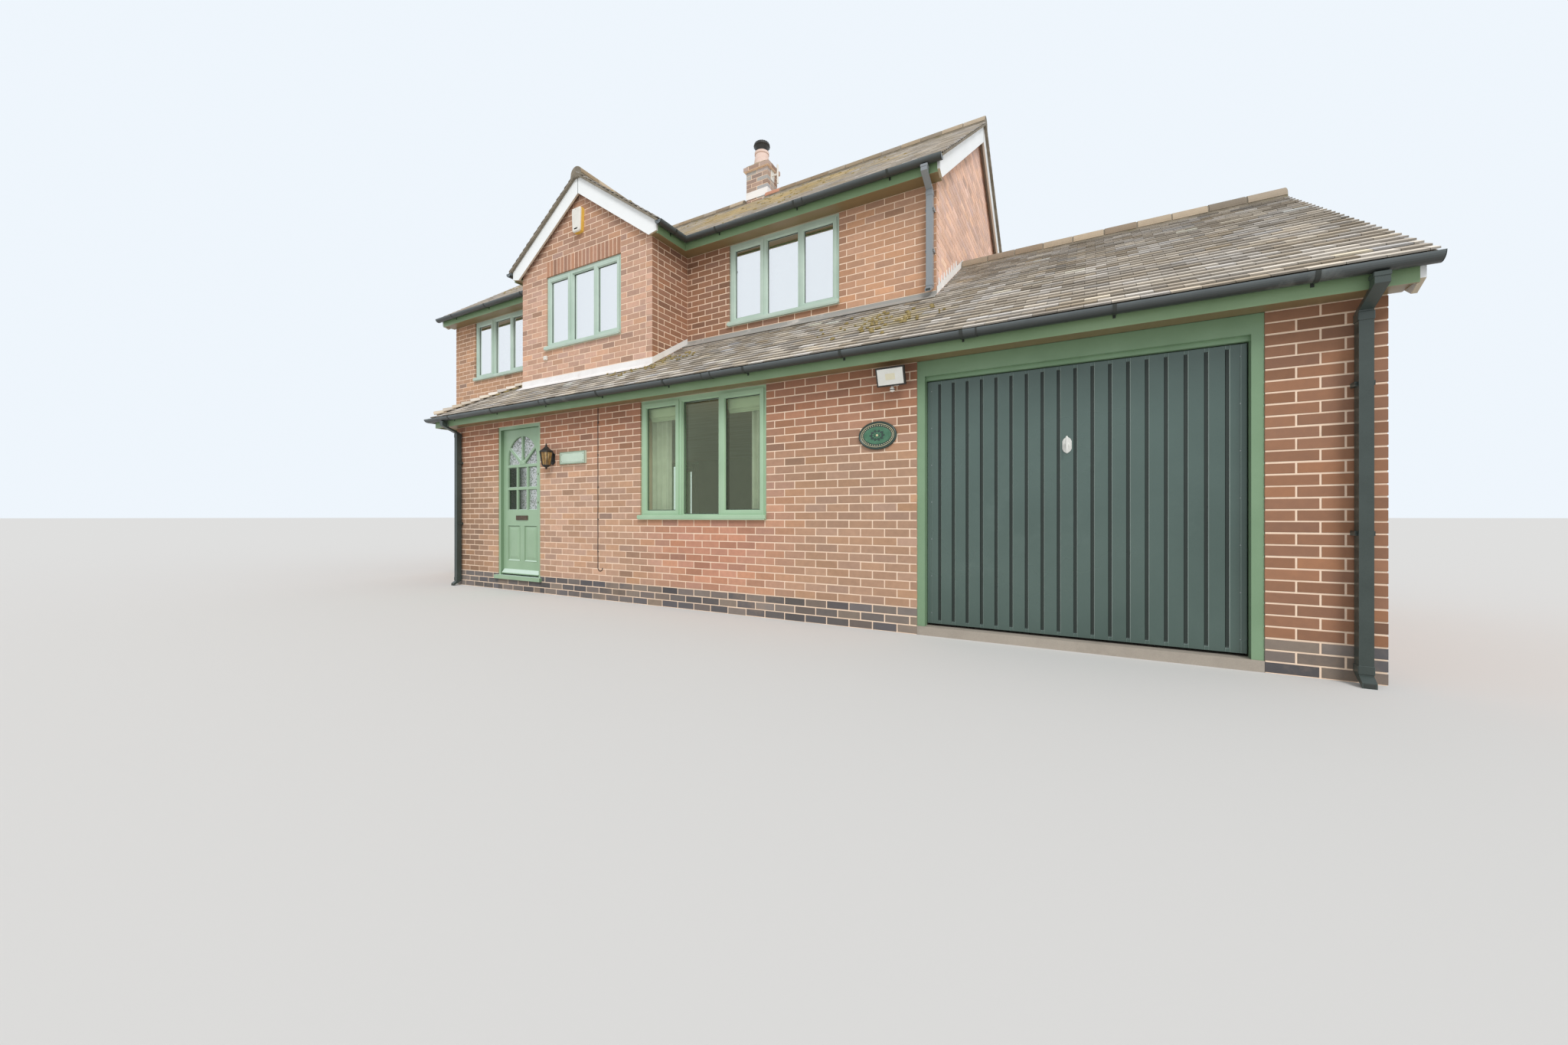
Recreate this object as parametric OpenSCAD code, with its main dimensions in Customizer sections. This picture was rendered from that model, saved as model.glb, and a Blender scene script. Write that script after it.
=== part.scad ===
// Detached two-storey brick house with a gabled bay, a tiled lean-to front and an attached garage.
// Millimetres, +Z up. X runs along the front to the right, Y runs from the front to the back.
// Inside set_out() the point X 0, Y 0 is the left corner of the ground-floor front. The model's
// origin is at the foot of the walls, halfway along that front and under the main ridge.

/* [Brickwork] */
// Height of one brick course with its joint
course = 75; // [70:1:80]
// Thickness of the cavity walls of the house
wall_t = 275; // [250:5:310]
// Thickness of the garage walls
garage_wall_t = 215; // [205:5:240]

/* [Plan] */
// Length of the two-storey body
main_w = 8870; // [8000:10:9800]
// Depth of the two-storey body
main_d = 4725; // [4200:25:5600]
// How far the two-storey body runs past the left corner of the ground-floor front
wing_left = 2060; // [1900:10:2600]
// Set-back of the two-storey front behind the ground-floor front
front_step = 1125; // [1000:25:1350]
// Width of the garage
garage_w = 2930; // [2900:10:3400]
// Depth of the garage
garage_d = 4875; // [4300:25:5400]
// Left side of the gabled bay
bay_x = 900; // [800:10:1000]
// Width of the gabled bay
bay_w = 2570; // [2450:10:2700]
// Set-back of the bay's face behind the ground-floor front
bay_step = 450; // [380:10:520]

/* [Floors and eaves] */
// Top of the ground floor inside the house
floor_z = 200; // [185:5:200]
// Top of the garage floor
garage_floor_z = 75; // [60:5:90]
// Courses from the foot of the walls to the lower soffit
low_courses = 31; // [30:1:33]
// Courses from the foot of the walls to the upper soffit
up_courses = 60; // [59:1:63]
// Thickness of the first floor
first_floor_t = 200; // [180:5:260]
// Thickness of a soffit board
soffit_t = 12; // [9:1:18]
// Thickness of a fascia board
fascia_t = 20; // [16:1:25]
// Drop of a fascia board below the soffit
fascia_drop = 15; // [5:1:30]
// Overhang of the eaves from the wall to the face of the fascia
eaves_over = 200; // [150:5:260]
// Overhang of the bay's side eaves
bay_eaves_over = 130; // [100:5:160]
// Reach of the tiles past the fascia
drip = 50; // [40:1:55]
// Height of the tile edge above the soffit
edge_rise = 150; // [140:1:180]

/* [Roofs] */
// Pitch of the lean-to and garage roof in degrees
lean_pitch = 32; // [30:0.5:34]
// Pitch of the main roof in degrees
main_pitch = 37; // [34:0.5:40]
// Pitch of the bay's roof in degrees
bay_pitch = 35; // [33:0.5:37]
// Thickness of tiles, battens and boards, measured upright
cover_t = 60; // [50:1:70]
// Overhang of the main and garage verges
verge_over = 115; // [100:5:150]
// Overhang of the bay's front verge
bay_verge_over = 100; // [90:5:140]
// Width of a bargeboard, measured upright
barge_h = 230; // [200:5:260]
// Thickness of a bargeboard
barge_t = 25; // [18:1:32]
// Outer radius of the ridge and hip tiles
ridge_r = 105; // [90:1:125]
// Thickness of the ridge and hip tiles
ridge_t = 18; // [14:1:22]

/* [Gutters and pipes] */
// Width of the half-round gutters
gutter_w = 112; // [100:1:125]
// Wall of the gutters and pipes
gutter_t = 3; // [2:0.5:4]
// Drop of the gutter rim below the tile edge
gutter_drop = 42; // [38:1:50]
// Side of the square downpipes
pipe_w = 65; // [60:1:70]
// Gap between a downpipe and its wall
pipe_gap = 20; // [12:1:30]

/* [Flashing] */
// Thickness of the lead
lead_t = 4; // [3:0.5:6]
// Upstand of the lead against a wall
lead_up = 80; // [65:5:110]
// Upstand of the lead against the main front wall
main_lead_up = 35; // [20:5:110]
// Lap of the lead over the tiles
lead_lap = 110; // [90:5:150]

/* [Windows] */
// Left edge of the ground-floor window
ground_window_x = 3712; // [3500:1:3800]
// Width of the ground-floor window
ground_window_w = 1698; // [1500:1:1800]
// Height of the ground-floor window in courses
ground_window_courses = 18; // [16:1:19]
// Left edge of the first-floor left window, from the ground-floor corner to the left
left_window_x = 1450; // [1250:10:1500]
// Shift of the first-floor right window to the left of the middle of its wall
right_window_shift = 210; // [100:10:300]
// Width of the two first-floor windows in the main wall
upper_window_w = 1540; // [1400:10:1640]
// Height of the first-floor windows in courses
upper_window_courses = 14; // [12:1:15]
// Width of the bay's window
bay_window_w = 1480; // [1380:10:1560]
// Depth of a window frame from outside to inside
frame_d = 75; // [65:1:85]
// Set-back of a window frame behind the brick face
frame_set = 20; // [10:1:35]
// Face width of a window frame's members
frame_b = 48; // [40:1:60]
// Face width of an opening light's rails
sash_b = 42; // [36:1:50]
// Reach of an opening light in front of its frame
sash_proud = 14; // [10:1:18]
// Height of a window sill
sill_h = 50; // [40:1:60]
// Reach of a window sill in front of the brick face
sill_out = 38; // [25:1:50]
// Thickness of a sealed glass unit
glass_t = 20; // [16:1:24]

/* [Front door] */
// Left edge of the front doorway
door_x = 1012; // [950:1:1100]
// Width of the door frame
door_frame_w = 910; // [880:1:960]
// Courses from the foot of the walls to the underside of the door frame
door_sill_courses = 2; // [2:1:2]
// Courses from the underside to the top of the door frame
door_frame_courses = 28; // [27:1:28]
// Thickness of the door leaf
leaf_t = 44; // [40:1:50]
// Face width of the frame beside the leaf
door_jamb_b = 31; // [28:1:40]
// Lap of the door stop over the leaf
door_stop_lap = 13; // [10:1:16]
// Depth of the door stop in front of the leaf
door_stop_d = 45; // [35:1:55]
// Height of the threshold
door_sill_h = 50; // [40:1:50]
// Running gap around the leaf
door_gap = 7; // [6:0.5:8]

/* [Garage door] */
// Left edge of the garage doorway, from the right wall of the two-storey body
garage_door_off = 110; // [100:1:140]
// Width of the garage doorway between the brick piers
garage_opening_w = 2260; // [2200:5:2340]
// Face width of the timber posts
post_b = 65; // [60:1:75]
// Depth of the timber posts and header
post_d = 95; // [90:1:100]
// Height of the timber header
header_h = 130; // [120:5:150]
// Height of the steel head under the timber header
head_h = 32; // [28:1:40]
// Running gap at the sides and the head of the garage door
garage_gap = 6; // [5.5:0.5:8]
// Gap between the garage floor and the door
garage_foot_gap = 20; // [15:1:30]
// Thickness of the pressed steel door with its edge folds
panel_t = 25; // [22:1:28]
// Thickness of the pressed steel sheet
sheet_t = 3; // [2:0.5:4]
// Depth of the upright grooves
rib_d = 8; // [6:1:10]
// Width of the upright grooves
rib_b = 22; // [16:1:26]
// Number of upright grooves
rib_count = 18; // [14:1:20]
// Distance of the first and the last groove from the edges of the door
edge_bay = 104; // [90:1:120]
// Distance from the inside of the door to its pivot line
pivot_back = 20; // [18:1:26]
// Radius of the pivot pins
pin_r = 6; // [5:0.5:8]
// Radial running gap at the pivot pins
pin_gap = 0.05; // [0.02:0.01:0.1]

/* [Chimney] */
// Width of the stack along the ridge
stack_w = 440; // [400:5:470]
// Depth of the stack across the ridge
stack_d = 340; // [330:5:450]
// Left side of the stack
stack_x = 2845; // [2700:5:3000]
// Set-back of the stack's face behind the ridge line
stack_back = 8; // [5:1:60]
// Height of the stack above the ridge line
stack_rise = 630; // [550:5:800]
// Reach of the top course past the stack
stack_oversail = 40; // [30:1:56]
// Height of the chimney pot
pot_h = 300; // [260:5:420]
// Radius of the pot at its foot
pot_r = 155; // [140:1:165]
// Radius of the pot at its rim
pot_rim_r = 118; // [100:1:130]
// Wall of the pot
pot_t = 20; // [16:1:26]

/* [Fittings] */
// Middle of the wall lantern, from the left corner of the front
lantern_x = 2185; // [1960:5:2300]
// Foot of the wall lantern
lantern_z = 1610; // [1500:5:1800]
// Left edge of the name plate
name_plate_x = 2345; // [2300:5:2600]
// Middle of the name plate and of the oval plaque
plaque_z = 1745; // [1600:5:1900]
// Distance of the oval plaque's middle from the garage doorway
oval_off = 350; // [300:5:500]
// Distance of the floodlight's middle from the garage doorway
floodlight_off = 190; // [150:5:300]
// Middle of the floodlight's head below the lower soffit
floodlight_drop = 115; // [105:1:200]
// Middle of the alarm box below the ridge of the bay
alarm_drop = 640; // [560:5:760]
// Distance of the hanging cable from the left corner of the front
cable_x = 3020; // [2900:5:3400]
// Foot of the hanging cable
cable_z = 345; // [250:5:600]

/* [Hidden] */
$fn = 48;

// Places worked out from the plan
main_x0 = -wing_left;
main_x1 = main_x0 + main_w;
main_y0 = front_step;
main_y1 = front_step + main_d;
ridge_y = (main_y0 + main_y1) / 2;
front_w = main_x1 + garage_w;
garage_ridge_y = garage_d / 2;
bay_x1 = bay_x + bay_w;
bay_mid = bay_x + bay_w / 2;
stack_y = ridge_y + stack_back;
right_window_x = (bay_x1 + main_x1 - upper_window_w) / 2 - right_window_shift;

// Levels
low_soffit = low_courses * course;
up_soffit = up_courses * course;
first_floor_z = low_soffit + first_floor_t;
low_edge_z = low_soffit + edge_rise;
up_edge_z = up_soffit + edge_rise;
tile_reach = eaves_over + drip;
bay_reach = bay_eaves_over + drip;
ridge_z = up_edge_z + (ridge_y - main_y0 + tile_reach) * tan(main_pitch);
bay_ridge_z = up_edge_z + (bay_w / 2 + bay_reach) * tan(bay_pitch);
stack_top = ridge_z + stack_rise;
garage_ridge_z = low_edge_z + (garage_ridge_y + tile_reach) * tan(lean_pitch);
door_sill_z = door_sill_courses * course;
door_top = door_sill_z + door_frame_courses * course;

// Garage door
opening_x = main_x1 + garage_door_off;
opening_x1 = opening_x + garage_opening_w;
panel_x = opening_x + post_b + garage_gap;
panel_w = garage_opening_w - 2 * (post_b + garage_gap);
panel_z = garage_floor_z + garage_foot_gap;
panel_top = low_soffit - header_h - head_h - garage_gap;
panel_h = panel_top - panel_z;
panel_y = post_d - panel_t + 3;
pivot_y = panel_y + panel_t + pivot_back;
roller_z = panel_z + panel_h / 3;
link_z = panel_z + panel_h * 2 / 3;

// Cutting margin, and the clearance of pieces that are set against each other
over = 5;
seat = 0.3;

// Shared shapes
module set_out() translate([-front_w / 2, -ridge_y, 0]) children();

module block(x0, x1, y0, y1, z0, z1)
  translate([x0, y0, z0]) cube([x1 - x0, y1 - y0, z1 - z0]);

module yz_prism(x0, x1, points)
  translate([x0, 0, 0]) rotate([90, 0, 90]) linear_extrude(x1 - x0) polygon(points);

module xz_prism(y0, y1, points)
  translate([0, y1, 0]) rotate([90, 0, 0]) linear_extrude(y1 - y0) polygon(points);

// Height of each tile surface
function lean_z(run) = low_edge_z + (run + tile_reach) * tan(lean_pitch);
function main_z(y) = up_edge_z + (y - main_y0 + tile_reach) * tan(main_pitch);
function bay_z(side) = up_edge_z + (side + bay_reach) * tan(bay_pitch);

// Everything under the lean-to's hipped tile surface, lowered by drop and grown by grow
module lean_mass(drop, grow) {
  far = garage_ridge_y + grow;
  out = -tile_reach - grow;
  right = front_w + verge_over + grow;
  hip_x = far + over;
  intersection() {
    yz_prism(out, right, [[out, -grow], [out, lean_z(out) - drop], [far, lean_z(far) - drop], [far, -grow]]);
    xz_prism(out - over, far + over, [
      [out, -grow], [out, lean_z(out) - drop], [hip_x, lean_z(hip_x) - drop], [right, lean_z(hip_x) - drop],
      [right, -grow]
    ]);
  }
}

// Everything under the two slopes of the main roof
module main_mass(drop, grow) {
  side = tile_reach + grow;
  z = main_z(main_y0 - side) - drop;
  yz_prism(main_x0 - verge_over - grow, main_x1 + verge_over + grow, [
    [main_y0 - side, -grow], [main_y0 - side, z], [ridge_y, ridge_z - drop], [main_y1 + side, z],
    [main_y1 + side, -grow]
  ]);
}

// Everything under the bay's roof, back to the main ridge
module bay_mass(drop, grow) {
  side = bay_reach + grow;
  z = bay_z(-side) - drop;
  xz_prism(bay_step - bay_verge_over - grow, ridge_y, [
    [bay_x - side, -grow], [bay_x - side, z], [bay_mid, bay_ridge_z - drop], [bay_x1 + side, z],
    [bay_x1 + side, -grow]
  ]);
}

// Everything under the garage's own two slopes
module garage_mass(drop) {
  out = -tile_reach;
  yz_prism(main_x1, front_w + verge_over, [
    [out, 0], [out, lean_z(out) - drop], [garage_ridge_y, garage_ridge_z - drop],
    [garage_d - out, lean_z(out) - drop], [garage_d - out, 0]
  ]);
}

// Floors
module ground_floor() color("lightgray") set_out() union() {
  block(main_x0 + wall_t, main_x1 - wall_t, main_y0 + wall_t, main_y1 - wall_t, 0, floor_z);
  block(wall_t, main_x1 - wall_t, wall_t, main_y0 + wall_t + over, 0, floor_z);
  // Step of the doorway, behind the threshold
  block(door_x, door_x + door_frame_w, door_set + door_frame_d, wall_t + over, door_sill_z, floor_z);
}

module garage_floor() color("gray") set_out() union() {
  block(main_x1, front_w - garage_wall_t, front_step, garage_d - garage_wall_t, 0, garage_floor_z);
  block(main_x1, front_w - garage_wall_t, wall_t, front_step + over, 0, garage_floor_z);
  block(opening_x, opening_x1, 0, wall_t + over, 0, garage_floor_z);
}

module first_floor() color("wheat") set_out() union() {
  block(main_x0 + wall_t, main_x1 - wall_t, main_y0 + wall_t, main_y1 - wall_t, low_soffit, first_floor_z);
  block(wall_t, main_x1 - wall_t, wall_t, main_y0 + wall_t + over, low_soffit, first_floor_z);
}

// Ground-floor front
module lower_wall(x0, x1, y0, y1, z0)
  intersection() {
    block(x0, x1, y0, y1, z0, ridge_z);
    lean_mass(cover_t + seat, over);
  }

module front_wall_left_pier() color("indianred") set_out()
  lower_wall(0, door_x, 0, wall_t, 0);

module front_wall_over_door() color("indianred") set_out() union() {
  lower_wall(door_x, door_x + door_frame_w, 0, wall_t, door_top);
  block(door_x, door_x + door_frame_w, 0, wall_t, 0, door_sill_z);
}

module front_wall_middle() color("indianred") set_out() difference() {
  lower_wall(door_x + door_frame_w, opening_x, 0, wall_t, 0);
  block(ground_window_x, ground_window_x + ground_window_w, -over, wall_t + over,
    low_soffit - ground_window_courses * course, low_soffit);
}

module front_block_side_wall() color("indianred") set_out()
  lower_wall(0, wall_t, wall_t, main_y0, 0);

// Garage walls
module garage_front_pier() color("indianred") set_out()
  lower_wall(opening_x1, front_w, 0, wall_t, 0);

module garage_lintel() color("gray") set_out()
  lower_wall(opening_x, opening_x1, post_d, wall_t, low_soffit - header_h);

module garage_party_wall() color("indianred") set_out()
  lower_wall(main_x1 - wall_t, main_x1, wall_t, main_y0, 0);

module garage_side_wall() color("indianred") set_out() intersection() {
  block(front_w - garage_wall_t, front_w, wall_t, garage_d, 0, ridge_z);
  garage_mass(cover_t + seat);
}

module garage_rear_wall() color("indianred") set_out() intersection() {
  block(main_x1, front_w - garage_wall_t, garage_d - garage_wall_t, garage_d, 0, ridge_z);
  garage_mass(cover_t + seat);
}

// Walls of the two-storey body
module main_wall(x0, x1, y0, y1, z0)
  intersection() {
    block(x0, x1, y0, y1, z0, ridge_z);
    main_mass(cover_t + seat, over);
  }

module upper_window_cut(x, y0, y1)
  block(x, x + upper_window_w, y0 - over, y1 + over, up_soffit - upper_window_courses * course, up_soffit);

module main_left_gable_wall() color("indianred") set_out()
  main_wall(main_x0, main_x0 + wall_t, main_y0, main_y1, 0);

module main_right_gable_wall() color("indianred") set_out()
  main_wall(main_x1 - wall_t, main_x1, main_y0, main_y1, 0);

module main_rear_wall() color("indianred") set_out() difference() {
  main_wall(main_x0 + wall_t, main_x1 - wall_t, main_y1 - wall_t, main_y1, 0);
  for (x = [-left_window_x, right_window_x]) {
    upper_window_cut(x, main_y1 - wall_t, main_y1);
    block(x, x + upper_window_w, main_y1 - wall_t - over, main_y1 + over,
      low_soffit - ground_window_courses * course, low_soffit);
  }
}

module main_front_wall_left() color("indianred") set_out() difference() {
  union() {
    main_wall(main_x0 + wall_t, wall_t, main_y0, main_y0 + wall_t, 0);
    main_wall(0, bay_x + wall_t, main_y0, main_y0 + wall_t, first_floor_z);
  }
  upper_window_cut(-left_window_x, main_y0, main_y0 + wall_t);
}

module main_front_wall_right() color("indianred") set_out() difference() {
  main_wall(bay_x1 - wall_t, main_x1 - wall_t, main_y0, main_y0 + wall_t, first_floor_z);
  upper_window_cut(right_window_x, main_y0, main_y0 + wall_t);
}

// Gabled bay
bay_window_x = bay_mid - bay_window_w / 2;
bay_window_top = up_soffit - course;

module bay_wall(x0, x1, y0, y1)
  intersection() {
    block(x0, x1, y0, y1, first_floor_z, ridge_z);
    bay_mass(cover_t + seat, over);
  }

module bay_front_wall() color("indianred") set_out() difference() {
  bay_wall(bay_x, bay_x1, bay_step, bay_step + wall_t);
  block(bay_window_x, bay_window_x + bay_window_w, bay_step - over, bay_step + wall_t + over,
    bay_window_top - upper_window_courses * course, bay_window_top);
}

module bay_side_walls() color("indianred") set_out() union() {
  bay_wall(bay_x, bay_x + wall_t, bay_step + wall_t, main_y0);
  bay_wall(bay_x1 - wall_t, bay_x1, bay_step + wall_t, main_y0);
}

// Roof coverings
// The main slopes stop under the bay's slopes in front of the main wall
module main_roof() difference() {
  main_mass(0, 0);
  main_mass(cover_t, over);
  intersection() {
    bay_mass(cover_t, over);
    block(bay_x - bay_reach - over, bay_x1 + bay_reach + over, 0, main_y0, 0, ridge_z);
  }
}

module main_roof_front() color("rosybrown") set_out() intersection() {
  main_roof();
  block(main_x0 - verge_over, main_x1 + verge_over, main_y0 - tile_reach, ridge_y, 0, ridge_z);
}

module main_roof_rear() color("rosybrown") set_out() intersection() {
  main_roof();
  block(main_x0 - verge_over, main_x1 + verge_over, ridge_y, main_y1 + tile_reach, 0, ridge_z);
}

module bay_roof(x0, x1) intersection() {
  difference() {
    bay_mass(0, 0);
    bay_mass(cover_t, over);
    main_mass(0, 0);
  }
  block(x0, x1, 0, ridge_y, 0, ridge_z);
}

module bay_roof_left() color("rosybrown") set_out()
  bay_roof(bay_x - bay_reach, bay_mid);

module bay_roof_right() color("rosybrown") set_out()
  bay_roof(bay_mid, bay_x1 + bay_reach);

// Two slabs that meet in the hip, which runs back at 45 degrees from the left front corner
module lean_to_roof() color("rosybrown") set_out() union() {
  out = -tile_reach;
  right = front_w + verge_over;
  intersection() {
    yz_prism(out, right, [
      [out, lean_z(out) - cover_t], [garage_ridge_y, garage_ridge_z - cover_t],
      [garage_ridge_y, garage_ridge_z], [out, lean_z(out)]
    ]);
    linear_extrude(ridge_z) polygon([
      [out, out], [right, out], [right, garage_ridge_y], [main_x1, garage_ridge_y], [main_x1, main_y0],
      [bay_x1, main_y0], [bay_x1, bay_step], [bay_x, bay_step], [bay_x, bay_x]
    ]);
  }
  intersection() {
    xz_prism(out, main_y0, [
      [out, lean_z(out) - cover_t], [bay_x, lean_z(bay_x) - cover_t], [bay_x, lean_z(bay_x)], [out, lean_z(out)]
    ]);
    linear_extrude(ridge_z) polygon([[out, out], [bay_x, bay_x], [bay_x, main_y0], [out, main_y0]]);
  }
}

module garage_roof_rear() color("rosybrown") set_out() intersection() {
  difference() {
    garage_mass(0);
    garage_mass(cover_t);
  }
  block(main_x1, front_w + verge_over, garage_ridge_y, garage_d + tile_reach, 0, ridge_z);
}

// A half-round ridge or hip tile run along +X from the origin
module ridge_run(length) rotate([90, 0, 90]) linear_extrude(length) difference() {
  circle(ridge_r);
  circle(ridge_r - ridge_t);
  translate([-ridge_r, -2 * ridge_r]) square([2 * ridge_r, 2 * ridge_r]);
}

ridge_drop = 50;

module ridge_tiles() color("rosybrown") set_out() {
  difference() {
    translate([main_x0 - verge_over, ridge_y, ridge_z - ridge_drop]) ridge_run(main_w + 2 * verge_over);
    main_mass(0, 0);
    block(stack_x, stack_x + stack_w, stack_y, stack_y + stack_d, 0, stack_top);
  }
  difference() {
    translate([bay_mid, bay_step - bay_verge_over, bay_ridge_z - ridge_drop]) rotate([0, 0, 90])
      ridge_run(ridge_y - bay_step);
    bay_mass(0, 0);
    main_mass(0, 0);
  }
  difference() {
    translate([main_x1 + lead_t + seat, garage_ridge_y, garage_ridge_z - ridge_drop])
      ridge_run(garage_w + verge_over - lead_t - seat);
    garage_mass(0);
  }
  // Hip
  difference() {
    translate([-tile_reach, -tile_reach, low_edge_z - ridge_drop]) rotate([0, 0, 45])
      rotate([0, -atan(tan(lean_pitch) / sqrt(2)), 0]) ridge_run(2 * front_step);
    lean_mass(0, 0);
    block(bay_x - lead_t - seat, bay_x + front_step, 0, 2 * front_step, 0, ridge_z);
    block(-tile_reach - front_step, -tile_reach, -tile_reach - front_step, front_step, 0, ridge_z);
    block(-tile_reach - front_step, front_step, -tile_reach - front_step, -tile_reach, 0, ridge_z);
  }
}

// Lead where the lower roofs meet the walls, and around the chimney
module lead_apron(x0, x1, y, up) {
  z = lean_z(y) + seat;
  foot = y - lead_lap;
  foot_z = lean_z(foot) + seat;
  yz_prism(x0, x1, [
    [y, z], [y, z + up], [y - lead_t, z + up], [y - lead_t, z + lead_t],
    [foot, foot_z + lead_t], [foot, foot_z]
  ]);
}

module lead_flashing() color("gainsboro") set_out() {
  lead_apron(bay_x - lead_t, bay_x1 + lead_t, bay_step, lead_up);
  lead_apron(bay_x1 + lead_t + seat, main_x1, main_y0, main_lead_up);
  // Raking strip beside the right wall of the house, over the garage roof
  yz_prism(main_x1, main_x1 + lead_t, [
    [main_y0 + seat, lean_z(main_y0) + seat], [garage_ridge_y, garage_ridge_z + seat],
    [garage_ridge_y, garage_ridge_z + lead_up], [main_y0 + seat, lean_z(main_y0) + lead_up]
  ]);
  // Raking strips beside the bay
  front = bay_step + seat;
  rear = main_y0 - lead_t - seat;
  yz_prism(bay_x1, bay_x1 + lead_t, [
    [front, lean_z(front) + seat], [rear, lean_z(rear) + seat], [rear, lean_z(rear) + lead_up],
    [front, lean_z(front) + lead_up]
  ]);
  yz_prism(bay_x - lead_t, bay_x, [
    [front, lean_z(front) + seat], [bay_x, lean_z(bay_x) + seat], [rear, lean_z(bay_x) + seat],
    [rear, lean_z(bay_x) + lead_up], [bay_x, lean_z(bay_x) + lead_up], [front, lean_z(front) + lead_up]
  ]);
  // Raking strip where the hip's slope meets the main front wall
  xz_prism(main_y0 - lead_t, main_y0, [
    [-tile_reach, low_edge_z + seat], [bay_x - lead_t - seat, lean_z(bay_x - lead_t) + seat],
    [bay_x - lead_t - seat, lean_z(bay_x - lead_t) + main_lead_up], [-tile_reach, low_edge_z + main_lead_up]
  ]);
  // Apron at the foot of the chimney
  difference() {
    block(stack_x - lead_t, stack_x + stack_w + lead_t, stack_y - lead_t, stack_y + stack_d + lead_t,
      ridge_z - stack_d, ridge_z + ridge_r + lead_up);
    block(stack_x, stack_x + stack_w, stack_y, stack_y + stack_d, 0, stack_top);
    main_mass(-seat, 0);
    translate([main_x0, ridge_y, ridge_z - ridge_drop]) rotate([90, 0, 90])
      linear_extrude(main_w) circle(ridge_r + seat);
  }
}

// Bargeboards with their narrow soffits. The boards hang a little inside the edge of the tiles.
tile_lap = 35;
barge_set = verge_over - tile_lap;

module raking_board(x0, x1, eaves_y, top_y, eaves_z, pitch, foot, drop) {
  way = top_y > eaves_y ? 1 : -1;
  rise = abs(top_y - eaves_y) * tan(pitch);
  yz_prism(x0, x1, [
    [eaves_y, eaves_z], [top_y, eaves_z + rise], [top_y, eaves_z + rise - drop],
    [eaves_y + way * foot, eaves_z + foot * tan(pitch) - drop], [eaves_y, eaves_z - drop / 2]
  ]);
}

module verge(wall_x, way, y0, y1, top_y, edge_z, pitch) {
  z = edge_z + drip * tan(pitch) - cover_t - seat;
  a = wall_x + way * (barge_set - barge_t);
  b = wall_x + way * barge_set;
  for (end = [-1, 1]) {
    eaves_y = end < 0 ? y0 - eaves_over : y1 + eaves_over;
    inner_y = eaves_y - end * (fascia_t + seat);
    raking_board(min(a, b), max(a, b), eaves_y, top_y, z, pitch, eaves_over / 2, barge_h);
    raking_board(min(wall_x, a), max(wall_x, a), inner_y, top_y, z + (fascia_t + seat) * tan(pitch), pitch, 0,
      soffit_t);
  }
}

module bargeboards() color("white") set_out() {
  verge(main_x1, 1, main_y0, main_y1, ridge_y, up_edge_z, main_pitch);
  verge(main_x0, -1, main_y0, main_y1, ridge_y, up_edge_z, main_pitch);
  verge(front_w, 1, 0, garage_d, garage_ridge_y, low_edge_z, lean_pitch);
  // Bay
  z = up_edge_z + drip * tan(bay_pitch) - cover_t - seat;
  run = bay_w / 2 + bay_eaves_over;
  front = bay_step - bay_verge_over + tile_lap;
  for (way = [-1, 1]) translate([bay_mid + way * run, 0, z]) {
    top = [-way * run, run * tan(bay_pitch)];
    inset = fascia_t + seat;
    xz_prism(front, front + barge_t, [
      [0, 0], top, top - [0, barge_h],
      [-way * bay_eaves_over, bay_eaves_over * tan(bay_pitch) - barge_h], [0, -barge_h / 2]
    ]);
    xz_prism(front + barge_t, bay_step, [
      [-way * inset, inset * tan(bay_pitch)], top, top - [0, soffit_t],
      [-way * inset, inset * tan(bay_pitch) - soffit_t]
    ]);
  }
}

// Fascia boards with the soffits behind them. The run is along X, the wall face is at y and
// way is -1 for eaves on the front and 1 for eaves on the back.
module eaves_boards(x0, x1, y, way, soffit_z, edge_z, pitch) {
  face = y + way * eaves_over;
  back = face - way * fascia_t;
  top = edge_z + drip * tan(pitch) - cover_t - seat;
  block(x0, x1, min(face, back), max(face, back), soffit_z - fascia_drop, top);
  block(x0, x1, min(y, back), max(y, back), soffit_z, soffit_z + soffit_t);
}

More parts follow.
